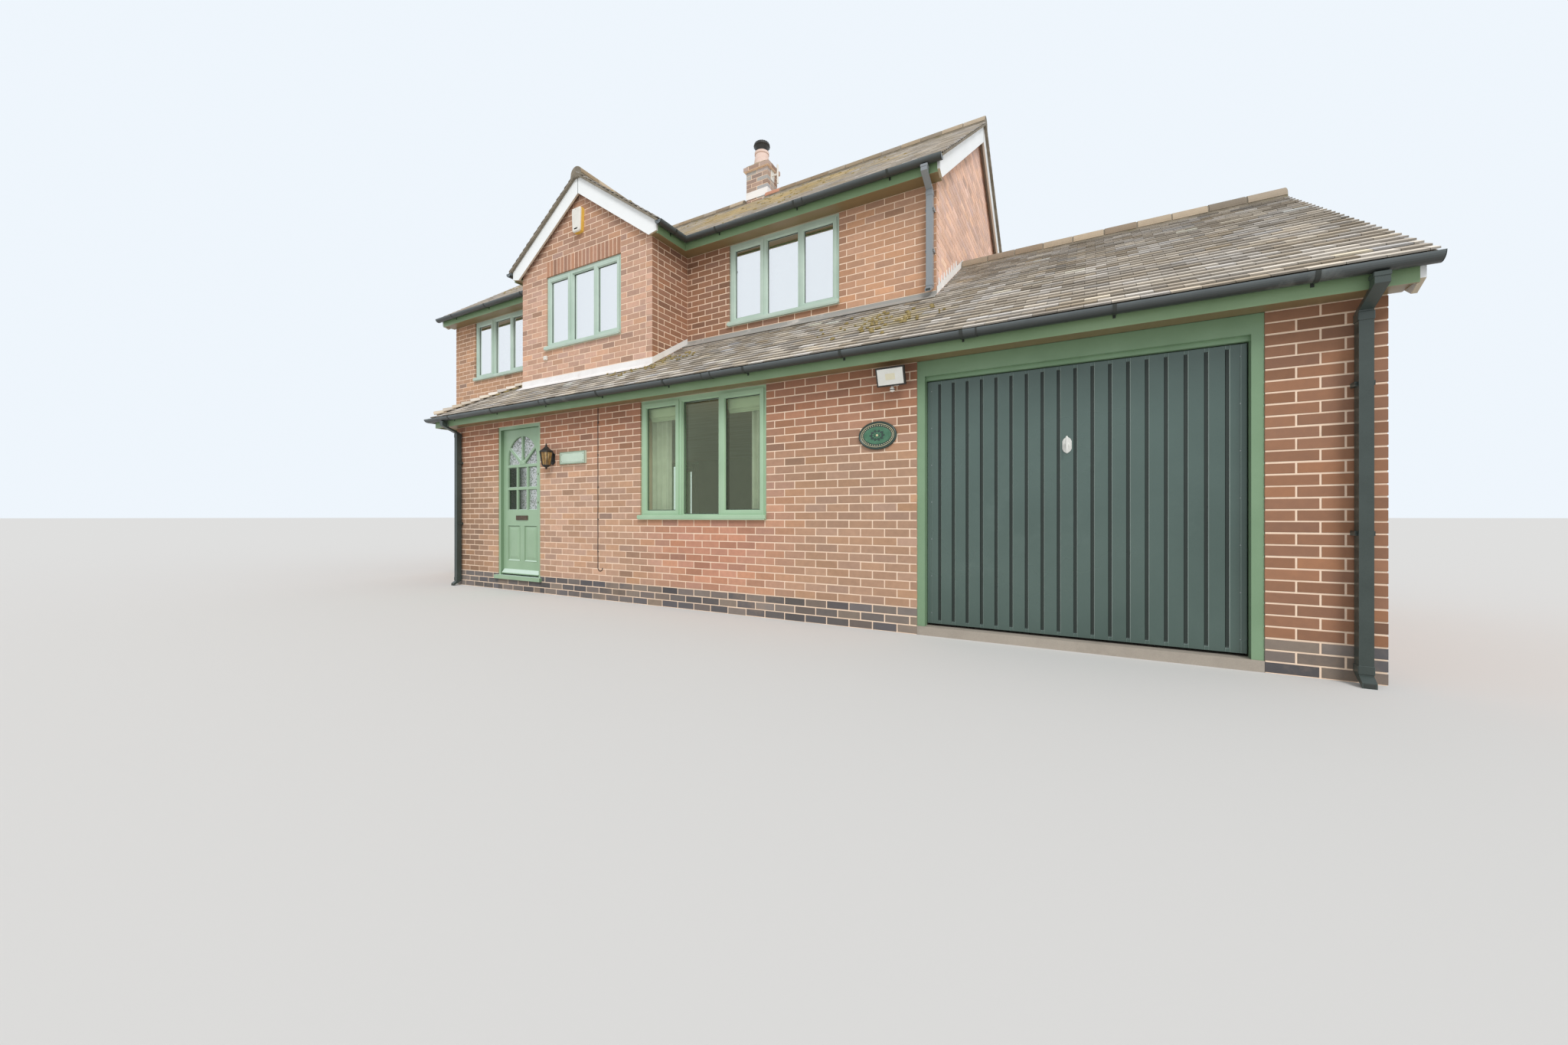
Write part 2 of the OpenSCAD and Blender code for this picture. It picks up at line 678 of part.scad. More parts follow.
module fascias_and_soffits() color("seagreen") set_out() {
  verge_in = barge_set - barge_t - seat;
  side_x = -eaves_over + fascia_t;
  side_y = main_y0 - lead_t - seat;
  eaves_boards(side_x, front_w + verge_in, 0, -1, low_soffit, low_edge_z, lean_pitch);
  // Left side of the lean-to
  top = low_edge_z + drip * tan(lean_pitch) - cover_t - seat;
  block(-eaves_over, side_x, -eaves_over, side_y, low_soffit - fascia_drop, top);
  block(side_x, 0, 0, side_y, low_soffit, low_soffit + soffit_t);
  eaves_boards(main_x1, front_w + verge_in, garage_d, 1, low_soffit, low_edge_z, lean_pitch);
  eaves_boards(main_x0 - verge_in, bay_x - bay_eaves_over, main_y0, -1, up_soffit, up_edge_z, main_pitch);
  eaves_boards(bay_x1 + bay_eaves_over, main_x1 + verge_in, main_y0, -1, up_soffit, up_edge_z, main_pitch);
  eaves_boards(main_x0 - verge_in, main_x1 + verge_in, main_y1, 1, up_soffit, up_edge_z, main_pitch);
  // Sides of the bay, back to the main fascia
  bay_top = up_edge_z + drip * tan(bay_pitch) - cover_t - seat;
  front = bay_step - bay_verge_over + tile_lap + barge_t + seat;
  for (way = [-1, 1]) {
    wall = way < 0 ? bay_x : bay_x1;
    face = wall + way * bay_eaves_over;
    back = face - way * fascia_t;
    block(min(face, back), max(face, back), front, main_y0 - eaves_over + fascia_t, up_soffit - fascia_drop,
      bay_top);
    block(min(wall, back), max(wall, back), front, main_y0, up_soffit, up_soffit + soffit_t);
    block(min(back, face), max(back, face), main_y0 - eaves_over + fascia_t, main_y0, up_soffit,
      up_soffit + soffit_t);
  }
}

// A half-round gutter along +X from the origin, its rim at z 0 and its back at y 0. At each end
// the turn is 1 for an outer corner, -1 for an inner corner and 0 for a square end.
module gutter_run(length, start_turn = 0, end_turn = 0) intersection() {
  translate([-gutter_w, 0, 0]) rotate([90, 0, 90]) linear_extrude(length + 2 * gutter_w) difference() {
    translate([-gutter_w / 2, 0]) circle(gutter_w / 2);
    translate([-gutter_w / 2, 0]) circle(gutter_w / 2 - gutter_t);
    translate([-gutter_w - over, 0]) square([gutter_w + 2 * over, gutter_w]);
  }
  front = gutter_w + over;
  translate([0, 0, -gutter_w]) linear_extrude(2 * gutter_w) polygon([
    [start_turn * over, over], [length - end_turn * over, over], [length + end_turn * front, -front],
    [-start_turn * front, -front]
  ]);
}

low_rim = low_edge_z - gutter_drop;
up_rim = up_edge_z - gutter_drop;

module gutters() color("dimgray") set_out() {
  translate([-eaves_over, -eaves_over, low_rim]) gutter_run(front_w + verge_over + eaves_over, 1, 0);
  translate([-eaves_over, main_y0 - lead_t - seat, low_rim]) rotate([0, 0, -90])
    gutter_run(main_y0 + eaves_over - lead_t - seat, 0, 1);
  translate([front_w + verge_over, garage_d + eaves_over, low_rim]) rotate([0, 0, 180])
    gutter_run(garage_w + verge_over);
  // Upper gutters in front, turning along both sides of the bay
  y = main_y0 - eaves_over;
  left_x = bay_x - bay_eaves_over;
  right_x = bay_x1 + bay_eaves_over;
  bay_front = bay_step - bay_verge_over;
  translate([main_x0 - verge_over, y, up_rim]) gutter_run(left_x - main_x0 + verge_over, 0, -1);
  translate([left_x, y, up_rim]) rotate([0, 0, -90]) gutter_run(y - bay_front, -1, 0);
  translate([right_x, bay_front, up_rim]) rotate([0, 0, 90]) gutter_run(y - bay_front, 0, -1);
  translate([right_x, y, up_rim]) gutter_run(main_x1 + verge_over - right_x, -1, 0);
  translate([main_x1 + verge_over, main_y1 + eaves_over, up_rim]) rotate([0, 0, 180])
    gutter_run(main_w + 2 * verge_over);
}

// A square downpipe against a wall whose face is at y, fed from a gutter whose rim is at rim_z
shoe_reach = 90;
clip_t = 12;
clip_h = 28;
clip_count = 2;

module downpipe(x, y, foot_z, soffit_z, rim_z) {
  yp = y - pipe_gap - pipe_w / 2;
  yg = y - eaves_over - gutter_w / 2;
  top = soffit_z - 2 * fascia_drop - pipe_w;
  half = pipe_w / 2;
  gutter_foot = rim_z - gutter_w / 2;
  difference() {
    block(x - half, x + half, yp - half, yp + half, foot_z + pipe_w, top);
    block(x - half + gutter_t, x + half - gutter_t, yp - half + gutter_t, yp + half - gutter_t,
      foot_z + pipe_w - over, top - pipe_w);
  }
  // Swan neck
  hull() {
    block(x - half, x + half, yp - half, yp + half, top - 1, top);
    block(x - half, x + half, yg - half, yg + half, gutter_foot - pipe_w, gutter_foot - pipe_w + 1);
  }
  block(x - half, x + half, yg - half, yg + half, gutter_foot - pipe_w, gutter_foot);
  // Shoe
  hull() {
    block(x - half, x + half, yp - half, yp + half, foot_z + pipe_w - 1, foot_z + pipe_w);
    block(x - half, x + half, yp - half - shoe_reach / 2, yp - half - shoe_reach / 2 + 1,
      foot_z, foot_z + pipe_w / 2);
  }
  // Wall clips
  for (i = [1 : clip_count]) {
    z = foot_z + (top - foot_z) * i / (clip_count + 0.5);
    block(x - half - clip_t, x + half + clip_t, yp - clip_t, y, z, z + clip_h);
  }
}

pipe_inset = 25;
garage_pipe_inset = 88;
left_pipe_inset = 85;

module downpipes() color("dimgray") set_out() {
  x_right = main_x1 - pipe_inset - pipe_w / 2;
  y_shoe = main_y0 - pipe_gap - pipe_w - shoe_reach / 2;
  downpipe(x_right, main_y0, lean_z(y_shoe + pipe_w) + lead_t + pipe_w / 2, up_soffit, up_rim);
  downpipe(front_w - garage_pipe_inset - pipe_w / 2, 0, 0, low_soffit, low_rim);
  downpipe(left_pipe_inset + pipe_w / 2, 0, 0, low_soffit, low_rim);
}

// Chimney
module chimney_stack() color("indianred") set_out() difference() {
  union() {
    block(stack_x, stack_x + stack_w, stack_y, stack_y + stack_d, ridge_z - stack_d, stack_top);
    block(stack_x - stack_oversail, stack_x + stack_w + stack_oversail, stack_y - stack_oversail,
      stack_y + stack_d + stack_oversail, stack_top - course, stack_top);
  }
  main_mass(0, 0);
}

pot_x = stack_x + stack_w / 2;
pot_y = stack_y + stack_d / 2;

pot_lip_h = 40;
pot_lip_t = 12;

module chimney_pot() color("wheat") set_out() translate([pot_x, pot_y, stack_top])
  rotate_extrude() polygon([
    [pot_r - pot_t, 0], [pot_r, 0], [pot_rim_r, pot_h - pot_lip_h], [pot_rim_r + pot_lip_t, pot_h - pot_lip_h],
    [pot_rim_r + pot_lip_t, pot_h], [pot_rim_r - pot_t, pot_h]
  ]);

cowl_r = 145;
cowl_foot_h = 18;
cowl_neck_h = 30;
cowl_in = 15;
cowl_crown_r = 75;
cowl_h = 190;

module chimney_cowl() color("dimgray") set_out() translate([pot_x, pot_y, stack_top + pot_h])
  rotate_extrude() polygon([
    [0, 0], [pot_rim_r, 0], [pot_rim_r, cowl_foot_h], [pot_rim_r - cowl_in, cowl_neck_h],
    [cowl_r - cowl_in, cowl_h * 0.5], [cowl_r, cowl_h * 0.6], [cowl_r - cowl_in, cowl_h * 0.85],
    [cowl_crown_r, cowl_h], [0, cowl_h]
  ]);

// Bracket and short mast on the right side of the stack
bracket_w = 120;
bracket_h = 180;
bracket_t = 6;
bracket_arm = 24;
bracket_reach = 110;
bracket_drop = 3.5 * course;
mast_h = 330;
mast_r = 16;

module aerial_bracket() color("gainsboro") set_out()
  translate([stack_x + stack_w, stack_y + stack_d / 2, stack_top - bracket_drop + bracket_h / 2]) {
    block(0, bracket_t, -bracket_w / 2, bracket_w / 2, -bracket_h / 2, bracket_h / 2);
    block(bracket_t, bracket_reach, -bracket_arm / 2, bracket_arm / 2, -bracket_arm / 2, bracket_arm / 2);
    translate([bracket_reach, 0, 0]) cylinder(h = mast_h, r = mast_r, center = true);
  }

// Windows. Drawn at a left bottom corner on the wall face, X along the wall, Y into it.
module window(w, h, lights) {
  light_w = (w - (lights + 1) * frame_b) / lights;
  clear_h = h - sill_h - frame_b;
  difference() {
    block(0, w, frame_set, frame_set + frame_d, sill_h - over, h);
    for (i = [0 : lights - 1]) {
      x = frame_b + i * (light_w + frame_b);
      block(x, x + light_w, 0, frame_set + frame_d + over, sill_h, sill_h + clear_h);
    }
  }
  // Sill
  block(0, w, -sill_out, frame_set + frame_d, 0, sill_h);
  // Opening lights at both ends
  for (i = [0, lights - 1]) {
    x = frame_b + i * (light_w + frame_b);
    difference() {
      block(x - sash_proud, x + light_w + sash_proud, frame_set - sash_proud, frame_set + frame_d / 2,
        sill_h, sill_h + clear_h + sash_proud);
      block(x + sash_b - sash_proud, x + light_w - sash_b + sash_proud, 0, frame_set + frame_d,
        sill_h + sash_b, sill_h + clear_h - sash_b + sash_proud);
    }
  }
}

// Glass of the same window, one sheet a light
module panes(w, h, lights) {
  light_w = (w - (lights + 1) * frame_b) / lights;
  clear_h = h - sill_h - frame_b;
  for (i = [0 : lights - 1]) {
    end_light = i == 0 || i == lights - 1;
    inset = end_light ? sash_b - sash_proud : 0;
    foot = end_light ? sash_b : 0;
    head = end_light ? sash_b - sash_proud : 0;
    x = frame_b + i * (light_w + frame_b);
    y = end_light ? frame_set + frame_d / 2 - glass_t : frame_set + frame_d / 2;
    block(x + inset, x + light_w - inset, y, y + glass_t, sill_h + foot, sill_h + clear_h - head);
  }
}

window_lights = 3;
ground_window_h = ground_window_courses * course;
upper_window_h = upper_window_courses * course;

module at_ground_window() translate([ground_window_x, 0, low_soffit - ground_window_h]) children();
module at_bay_window() translate([bay_window_x, bay_step, bay_window_top - upper_window_h]) children();
module at_left_window() translate([-left_window_x, main_y0, up_soffit - upper_window_h]) children();
module at_right_window() translate([right_window_x, main_y0, up_soffit - upper_window_h]) children();
module at_rear_window(x, z) translate([x + upper_window_w, main_y1, z]) rotate([0, 0, 180]) children();

module ground_window() color("darkseagreen") set_out() at_ground_window()
  window(ground_window_w, ground_window_h, window_lights);

module bay_window() color("darkseagreen") set_out() at_bay_window()
  window(bay_window_w, upper_window_h, window_lights);

module upper_left_window() color("darkseagreen") set_out() at_left_window()
  window(upper_window_w, upper_window_h, window_lights);

module upper_right_window() color("darkseagreen") set_out() at_right_window()
  window(upper_window_w, upper_window_h, window_lights);

module rear_windows() color("darkseagreen") set_out() for (x = [-left_window_x, right_window_x]) {
  at_rear_window(x, up_soffit - upper_window_h) window(upper_window_w, upper_window_h, window_lights);
  at_rear_window(x, low_soffit - ground_window_h) window(upper_window_w, ground_window_h, window_lights);
}

module window_glass() color("lightblue", 0.5) set_out() {
  at_ground_window() panes(ground_window_w, ground_window_h, window_lights);
  at_bay_window() panes(bay_window_w, upper_window_h, window_lights);
  at_left_window() panes(upper_window_w, upper_window_h, window_lights);
  at_right_window() panes(upper_window_w, upper_window_h, window_lights);
  for (x = [-left_window_x, right_window_x]) {
    at_rear_window(x, up_soffit - upper_window_h) panes(upper_window_w, upper_window_h, window_lights);
    at_rear_window(x, low_soffit - ground_window_h) panes(upper_window_w, ground_window_h, window_lights);
  }
}

// Front door. The leaf stands behind the stops and swings inwards about its left edge.
door_set = 12;
leaf_x = door_x + door_jamb_b + door_gap;
leaf_w = door_frame_w - 2 * (door_jamb_b + door_gap);
leaf_y = door_set + door_stop_d;
leaf_z = door_sill_z + door_sill_h + door_gap + 3;
leaf_top = door_top - door_jamb_b - door_gap;
leaf_h = leaf_top - leaf_z;
door_frame_d = door_stop_d + leaf_t;

// Butt hinges. Their pins stand just inside the leaf, over the gap beside it.
hinge_x = leaf_x - door_gap / 2;
hinge_y = leaf_y + leaf_t + 8;
hinge_foot = 200;
hinge_head = 300;
hinge_heights = [hinge_foot, leaf_h - hinge_head];
hinge_plate = 30;
hinge_t = 3;
barrel_r = 6;
barrel_h = 33;
hinge_pin_r = 3;

module door_frame() color("darkseagreen") set_out() union() {
  x1 = door_x + door_frame_w;
  stop = door_jamb_b + door_stop_lap;
  difference() {
    block(door_x, x1, door_set, door_set + door_frame_d, door_sill_z + door_sill_h, door_top);
    block(door_x + stop, x1 - stop, 0, wall_t, door_sill_z, door_top - stop);
    block(door_x + door_jamb_b, x1 - door_jamb_b, leaf_y, wall_t, door_sill_z, door_top - door_jamb_b);
  }
  // Threshold with its nosing
  block(door_x, x1, 0, door_set + door_frame_d, door_sill_z, door_sill_z + door_sill_h);
  block(door_x - sill_out, x1 + sill_out, -sill_out, 0, door_sill_z, door_sill_z + door_sill_h);
  // Fixed halves of the hinges: a plate, two end barrels and the pin between them
  for (z = hinge_heights) translate([hinge_x, hinge_y, leaf_z + z]) {
    cylinder(h = 3 * barrel_h, r = hinge_pin_r);
    for (z = [0, 2 * barrel_h]) translate([0, 0, z]) {
      block(-hinge_plate, 0, leaf_y + leaf_t - hinge_y, leaf_y + leaf_t - hinge_y + hinge_t, 0, barrel_h);
      cylinder(h = barrel_h, r = barrel_r);
    }
  }
}

// Outline of the leaf's parts, from its own left bottom corner
stile_b = 105;
bottom_rail_h = 190;
lock_rail_z = 675;
lock_rail_h = 212;
pane_h = 281;
bar_b = 28;
hub_r = 62;
panel_gap_b = 95;
glass_x0 = stile_b;
glass_x1 = leaf_w - stile_b;
glass_mid = leaf_w / 2;
rows_z = lock_rail_z + lock_rail_h;
sun_z = rows_z + 2 * pane_h + bar_b * 2;
sun_r = (glass_x1 - glass_x0) / 2;
sun_h = leaf_h - sun_z - stile_b;

module sun_outline() intersection() {
  translate([glass_x0, sun_z]) square([glass_x1 - glass_x0, sun_h]);
  translate([glass_mid, sun_z + sun_h - sun_r]) union() {
    circle(sun_r);
    translate([-sun_r, -sun_h]) square([2 * sun_r, sun_h]);
  }
}

module sun_bars() {
  translate([glass_mid, sun_z]) circle(hub_r);
  for (angle = [40, 90, 140]) translate([glass_mid, sun_z]) rotate(angle)
    translate([0, -bar_b / 2]) square([2 * leaf_w, bar_b]);
}

module pane_outlines() {
  pane_w = (glass_x1 - glass_x0 - 2 * bar_b) / 3;
  for (column = [0 : 2], row = [0 : 1])
    translate([glass_x0 + column * (pane_w + bar_b), rows_z + row * (pane_h + bar_b)])
      square([pane_w, pane_h]);
  difference() {
    sun_outline();
    sun_bars();
  }
}

module leaf_cut(depth) translate([leaf_x, leaf_y + leaf_t / 2 + depth, leaf_z]) rotate([90, 0, 0])
  linear_extrude(2 * depth) children();

field_w = (leaf_w - 2 * stile_b - panel_gap_b) / 2;
field_sink = 10;

module front_door() color("darkseagreen") set_out() union() {
  difference() {
    block(leaf_x, leaf_x + leaf_w, leaf_y, leaf_y + leaf_t, leaf_z, leaf_top);
    leaf_cut(leaf_t) pane_outlines();
    // Sunk fields of the two lower panels, on both faces
    for (x = [stile_b, stile_b + field_w + panel_gap_b], y = [leaf_y - over, leaf_y + leaf_t - field_sink])
      block(leaf_x + x, leaf_x + x + field_w, y, y + field_sink + over, leaf_z + bottom_rail_h,
        leaf_z + lock_rail_z);
  }
  // Weatherboard
  translate([leaf_x + 20, 0, leaf_z + 12]) yz_prism(0, leaf_w - 40, [
    [leaf_y, 0], [leaf_y - 38, 0], [leaf_y - 38, 12], [leaf_y, 60]
  ]);
}

door_glass_t = 6;

module front_door_glass() color("lightblue", 0.6) set_out()
  translate([leaf_x, leaf_y + leaf_t / 2 + door_glass_t / 2, leaf_z]) rotate([90, 0, 0])
    linear_extrude(door_glass_t) pane_outlines();

// Letter plate, two locks and the moving halves of the hinges
letter_w = 250;
letter_h = 62;
letter_t = 8;
lock_heights = [985, 1365];
lock_r = 16;
lock_t = 12;

module front_door_fittings() color("dimgray") set_out() {
  letter_z = leaf_z + lock_rail_z + (lock_rail_h - letter_h) / 2;
  block(leaf_x + (leaf_w - letter_w) / 2, leaf_x + (leaf_w + letter_w) / 2, leaf_y - letter_t, leaf_y,
    letter_z, letter_z + letter_h);
  for (z = lock_heights) translate([leaf_x + leaf_w - stile_b / 2, leaf_y, leaf_z + z])
    rotate([90, 0, 0]) cylinder(h = lock_t, r = lock_r);
  // Moving halves of the hinges
  for (z = hinge_heights) translate([hinge_x, hinge_y, leaf_z + z + barrel_h]) difference() {
    union() {
      block(0, hinge_plate, leaf_y + leaf_t - hinge_y, leaf_y + leaf_t - hinge_y + hinge_t, seat,
        barrel_h - seat);
      translate([0, 0, seat]) cylinder(h = barrel_h - 2 * seat, r = barrel_r);
    }
    cylinder(h = barrel_h, r = hinge_pin_r + pin_gap);
  }
}

// Garage doorway: posts, header and the bead under it
garage_set = 8;
head_d = 50;

module garage_timber_frame() color("seagreen") set_out() union() {
  head_z = low_soffit - header_h;
  block(opening_x, opening_x + post_b, garage_set, post_d, garage_floor_z, head_z);
  block(opening_x1 - post_b, opening_x1, garage_set, post_d, garage_floor_z, head_z);
  block(opening_x, opening_x1, garage_set, post_d, head_z, low_soffit);
  block(opening_x + post_b, opening_x1 - post_b, post_d - head_d, post_d, head_z - head_h, head_z);
}

// Upright channels that the rollers run in, with the fixed pivot pins
channel_b = 30;
channel_d = 38;
roller_r = 13;
roller_play = 5;
arm_t = 6;
arm_b = 24;
arm_end_r = 15;
arm_gap = 5;
pin_end = 3;
arm_x = opening_x + channel_b + arm_gap;

module garage_side_channel() {
  difference() {
    block(opening_x, opening_x + channel_b, post_d, pivot_y + channel_d / 2 + sheet_t, garage_floor_z,
      low_soffit - header_h);
    block(opening_x + sheet_t, opening_x + channel_b + over, pivot_y - channel_d / 2,
      pivot_y + channel_d / 2, garage_floor_z - over, low_soffit);
  }
  translate([opening_x, pivot_y, panel_top]) rotate([0, 90, 0])
    cylinder(h = arm_x + arm_t + pin_end - opening_x, r = pin_r);
}

module both_sides() {
  children();
  translate([opening_x + opening_x1, 0, 0]) mirror([1, 0, 0]) children();
}

module garage_steel_frame() color("darkslategray") set_out() {
  both_sides() garage_side_channel();
}

// The door: a grooved steel sheet with folded edges and two cross rails on its inside
edge_b = 40;
groove_end = 28;
rail_h = 50;
groove_pitch = (panel_w - 2 * edge_bay) / (rib_count - 1);

module garage_door() color("darkslategray") set_out() {
  x1 = panel_x + panel_w;
  back = panel_y + panel_t;
  rail_y = panel_y + rib_d + sheet_t;
  side = rib_b / 2 + sheet_t;
  difference() {
    block(panel_x, x1, panel_y, back, panel_z, panel_top);
    block(panel_x + edge_b, x1 - edge_b, rail_y, back + over, panel_z + edge_b, panel_top - edge_b);
    // Grooves in the face
    for (i = [0 : rib_count - 1]) translate([panel_x + edge_bay + i * groove_pitch, 0, 0])
      block(-rib_b / 2, rib_b / 2, panel_y - over, panel_y + rib_d, panel_z + groove_end, panel_top - groove_end);
    // Hollows behind the face between them
    for (i = [0 : rib_count]) {
      x0 = i == 0 ? panel_x + edge_b : panel_x + edge_bay + (i - 1) * groove_pitch + side;
      x2 = i == rib_count ? x1 - edge_b : panel_x + edge_bay + i * groove_pitch - side;
      block(x0, x2, panel_y + sheet_t, rail_y + over, panel_z + edge_b, panel_top - edge_b);
    }
  }
  for (z = [roller_z, link_z]) block(panel_x + edge_b, x1 - edge_b, rail_y, back, z - rail_h / 2, z + rail_h / 2);
}

// Side plates with the link pins and the rollers
plate_h = 60;
plate_t = 6;
plate_reach = 16;

module garage_door_pivot(z, from_x) {
  block(panel_x, panel_x + plate_t, panel_y + panel_t, pivot_y + plate_reach, z - plate_h / 2, z + plate_h / 2);
  translate([from_x, pivot_y, z]) rotate([0, 90, 0]) cylinder(h = panel_x + plate_t / 2 - from_x, r = pin_r);
}

module garage_door_pivots() color("silver") set_out() both_sides() {
  roller_x = opening_x + sheet_t + roller_play;
  garage_door_pivot(link_z, arm_x - pin_end);
  garage_door_pivot(roller_z, roller_x - pin_end);
  translate([roller_x, pivot_y, roller_z]) rotate([0, 90, 0])
    cylinder(h = opening_x + channel_b - pin_end - roller_x, r = roller_r);
}

module garage_door_arms() color("silver") set_out() both_sides()
  translate([arm_x, pivot_y, 0]) rotate([90, 0, 90]) linear_extrude(arm_t) difference() {
    union() {
      translate([-arm_b / 2, link_z]) square([arm_b, panel_top - link_z]);
      for (z = [link_z, panel_top]) translate([0, z]) circle(arm_end_r);
    }
    for (z = [link_z, panel_top]) translate([0, z]) circle(pin_r + pin_gap);
  }

// Handle: a back plate, a spindle and a T grip
handle_w = 64;
handle_h = 128;
handle_up = 1455;
handle_t = 6;
spindle_r = 11;
spindle_l = 28;
grip_w = 18;
grip_t = 12;

module garage_door_handle() color("white") set_out()
  translate([panel_x + panel_w / 2, panel_y, panel_z + handle_up]) {
    block(-handle_w / 2, handle_w / 2, -handle_t, 0, -handle_h / 2, handle_h / 2);
    translate([0, -handle_t, 0]) rotate([90, 0, 0]) cylinder(h = spindle_l, r = spindle_r);
    block(-grip_w / 2, grip_w / 2, -handle_t - spindle_l - grip_t, -handle_t - spindle_l, -handle_h / 2,
      handle_h / 2);
  }

// Wall lantern: a back plate, an arm and a six-sided lamp with a roof, a foot and a finial
lantern_plate_w = 90;
lantern_plate_t = 15;
lantern_plate_z = [60, 230];
lantern_arm_b = 20;
lantern_reach = 100;
lantern_foot_r = 15;
lantern_cup_r = 42;
lantern_low_r = 52;
lantern_high_r = 85;
lantern_roof_r = 90;
lantern_peak_r = 18;
lantern_levels = [0, 45, 225, 290, 330];
lantern_sides = 6;

module wall_lantern() color("dimgray") set_out() translate([lantern_x, 0, lantern_z]) {
  block(-lantern_plate_w / 2, lantern_plate_w / 2, -lantern_plate_t, 0, lantern_plate_z[0], lantern_plate_z[1]);
  block(-lantern_arm_b / 2, lantern_arm_b / 2, -lantern_reach, -lantern_plate_t,
    lantern_plate_z[1] - lantern_arm_b, lantern_plate_z[1]);
  translate([0, -lantern_reach, 0]) {
    cylinder(h = lantern_levels[1], r1 = lantern_foot_r, r2 = lantern_cup_r);
    translate([0, 0, lantern_levels[1]]) rotate(30)
      cylinder(h = lantern_levels[2] - lantern_levels[1], r1 = lantern_low_r, r2 = lantern_high_r,
        $fn = lantern_sides);
    translate([0, 0, lantern_levels[2]]) rotate(30)
      cylinder(h = lantern_levels[3] - lantern_levels[2], r1 = lantern_roof_r, r2 = lantern_peak_r,
        $fn = lantern_sides);
    translate([0, 0, lantern_levels[3]]) cylinder(h = lantern_levels[4] - lantern_levels[3], r = lantern_foot_r);
  }
}

name_plate_w = 470;
name_plate_h = 155;
name_plate_t = 25;

module name_plate() color("darkseagreen") set_out() translate([name_plate_x, 0, plaque_z])
  block(0, name_plate_w, -name_plate_t, 0, -name_plate_h / 2, name_plate_h / 2);

oval_w = 350;
oval_h = 250;
oval_t = 22;

module oval_plaque() color("darkolivegreen") set_out()
  translate([opening_x - oval_off, 0, plaque_z - oval_t]) rotate([90, 0, 0])
    linear_extrude(oval_t) scale([oval_w / 2, oval_h / 2]) circle(1, $fn = 64);

// Floodlight: a back plate, an arm, a head that leans forward and a sensor under it
flood_w = 250;
flood_h = 160;
flood_t = 50;
flood_reach = 95;
flood_lean = 20;
flood_plate = 70;
flood_plate_t = 25;
flood_arm = 24;
sensor_r = 22;
sensor_h = 60;

module floodlight() color("white") set_out()
  translate([opening_x - floodlight_off, 0, low_soffit - floodlight_drop]) {
    block(-flood_plate / 2, flood_plate / 2, -flood_plate_t, 0, -flood_plate, flood_plate / 2);
    block(-flood_arm / 2, flood_arm / 2, -flood_reach, -flood_plate_t, -flood_arm, 0);
    translate([0, -flood_reach, 0]) rotate([flood_lean, 0, 0])
      block(-flood_w / 2, flood_w / 2, -flood_t, 0, -flood_h / 2, flood_h / 2);
    translate([0, -flood_reach + flood_arm / 2, -flood_h / 2 - sensor_h + flood_t / 2]) {
      cylinder(h = sensor_h, r = sensor_r / 2);
      sphere(r = sensor_r);
    }
  }

// Alarm box on the bay's gable and a small junction box under its window
alarm_w = 180;
alarm_h = 330;
alarm_t = 70;
junction_w = 60;
junction_t = 35;

module wall_boxes() color("gold") set_out() {
  translate([bay_mid - course / 2, bay_step, bay_ridge_z - alarm_drop])
    block(-alarm_w / 2, alarm_w / 2, -alarm_t, 0, -alarm_h / 2, alarm_h / 2);
  translate([bay_window_x, bay_step, bay_window_top - upper_window_h - course])
    block(-junction_w / 2, junction_w / 2, -junction_t, 0, -junction_w, 0);
}

cable_r = 4;

module wall_cable() color("black") set_out()
  translate([cable_x, -cable_r - seat, cable_z]) cylinder(h = low_soffit - cable_z, r = cable_r, $fn = 16);

ground_floor();
garage_floor();
first_floor();
front_wall_left_pier();
front_wall_over_door();
front_wall_middle();
front_block_side_wall();
garage_front_pier();
garage_lintel();
garage_party_wall();
garage_side_wall();
garage_rear_wall();
main_left_gable_wall();
main_right_gable_wall();
main_rear_wall();
main_front_wall_left();
main_front_wall_right();
bay_front_wall();
bay_side_walls();
main_roof_front();
main_roof_rear();
bay_roof_left();
bay_roof_right();
lean_to_roof();
garage_roof_rear();
ridge_tiles();
lead_flashing();
bargeboards();
fascias_and_soffits();
gutters();
downpipes();
chimney_stack();
chimney_pot();
chimney_cowl();
aerial_bracket();
ground_window();
bay_window();
upper_left_window();
upper_right_window();
rear_windows();
window_glass();
door_frame();
front_door();
front_door_glass();
front_door_fittings();
garage_timber_frame();
garage_steel_frame();
garage_door();
garage_door_handle();
garage_door_pivots();
garage_door_arms();
wall_lantern();
name_plate();
oval_plaque();
floodlight();
wall_boxes();
wall_cable();
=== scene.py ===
"""Looks of a detached brick house with a gabled bay, a lean-to front and an attached garage."""
from math import atan2, ceil, copysign, cos, dist, hypot, pi, radians, sin, sqrt, tan, tau
from random import Random

import bmesh
import bpy
from mathutils import Matrix, Vector, noise


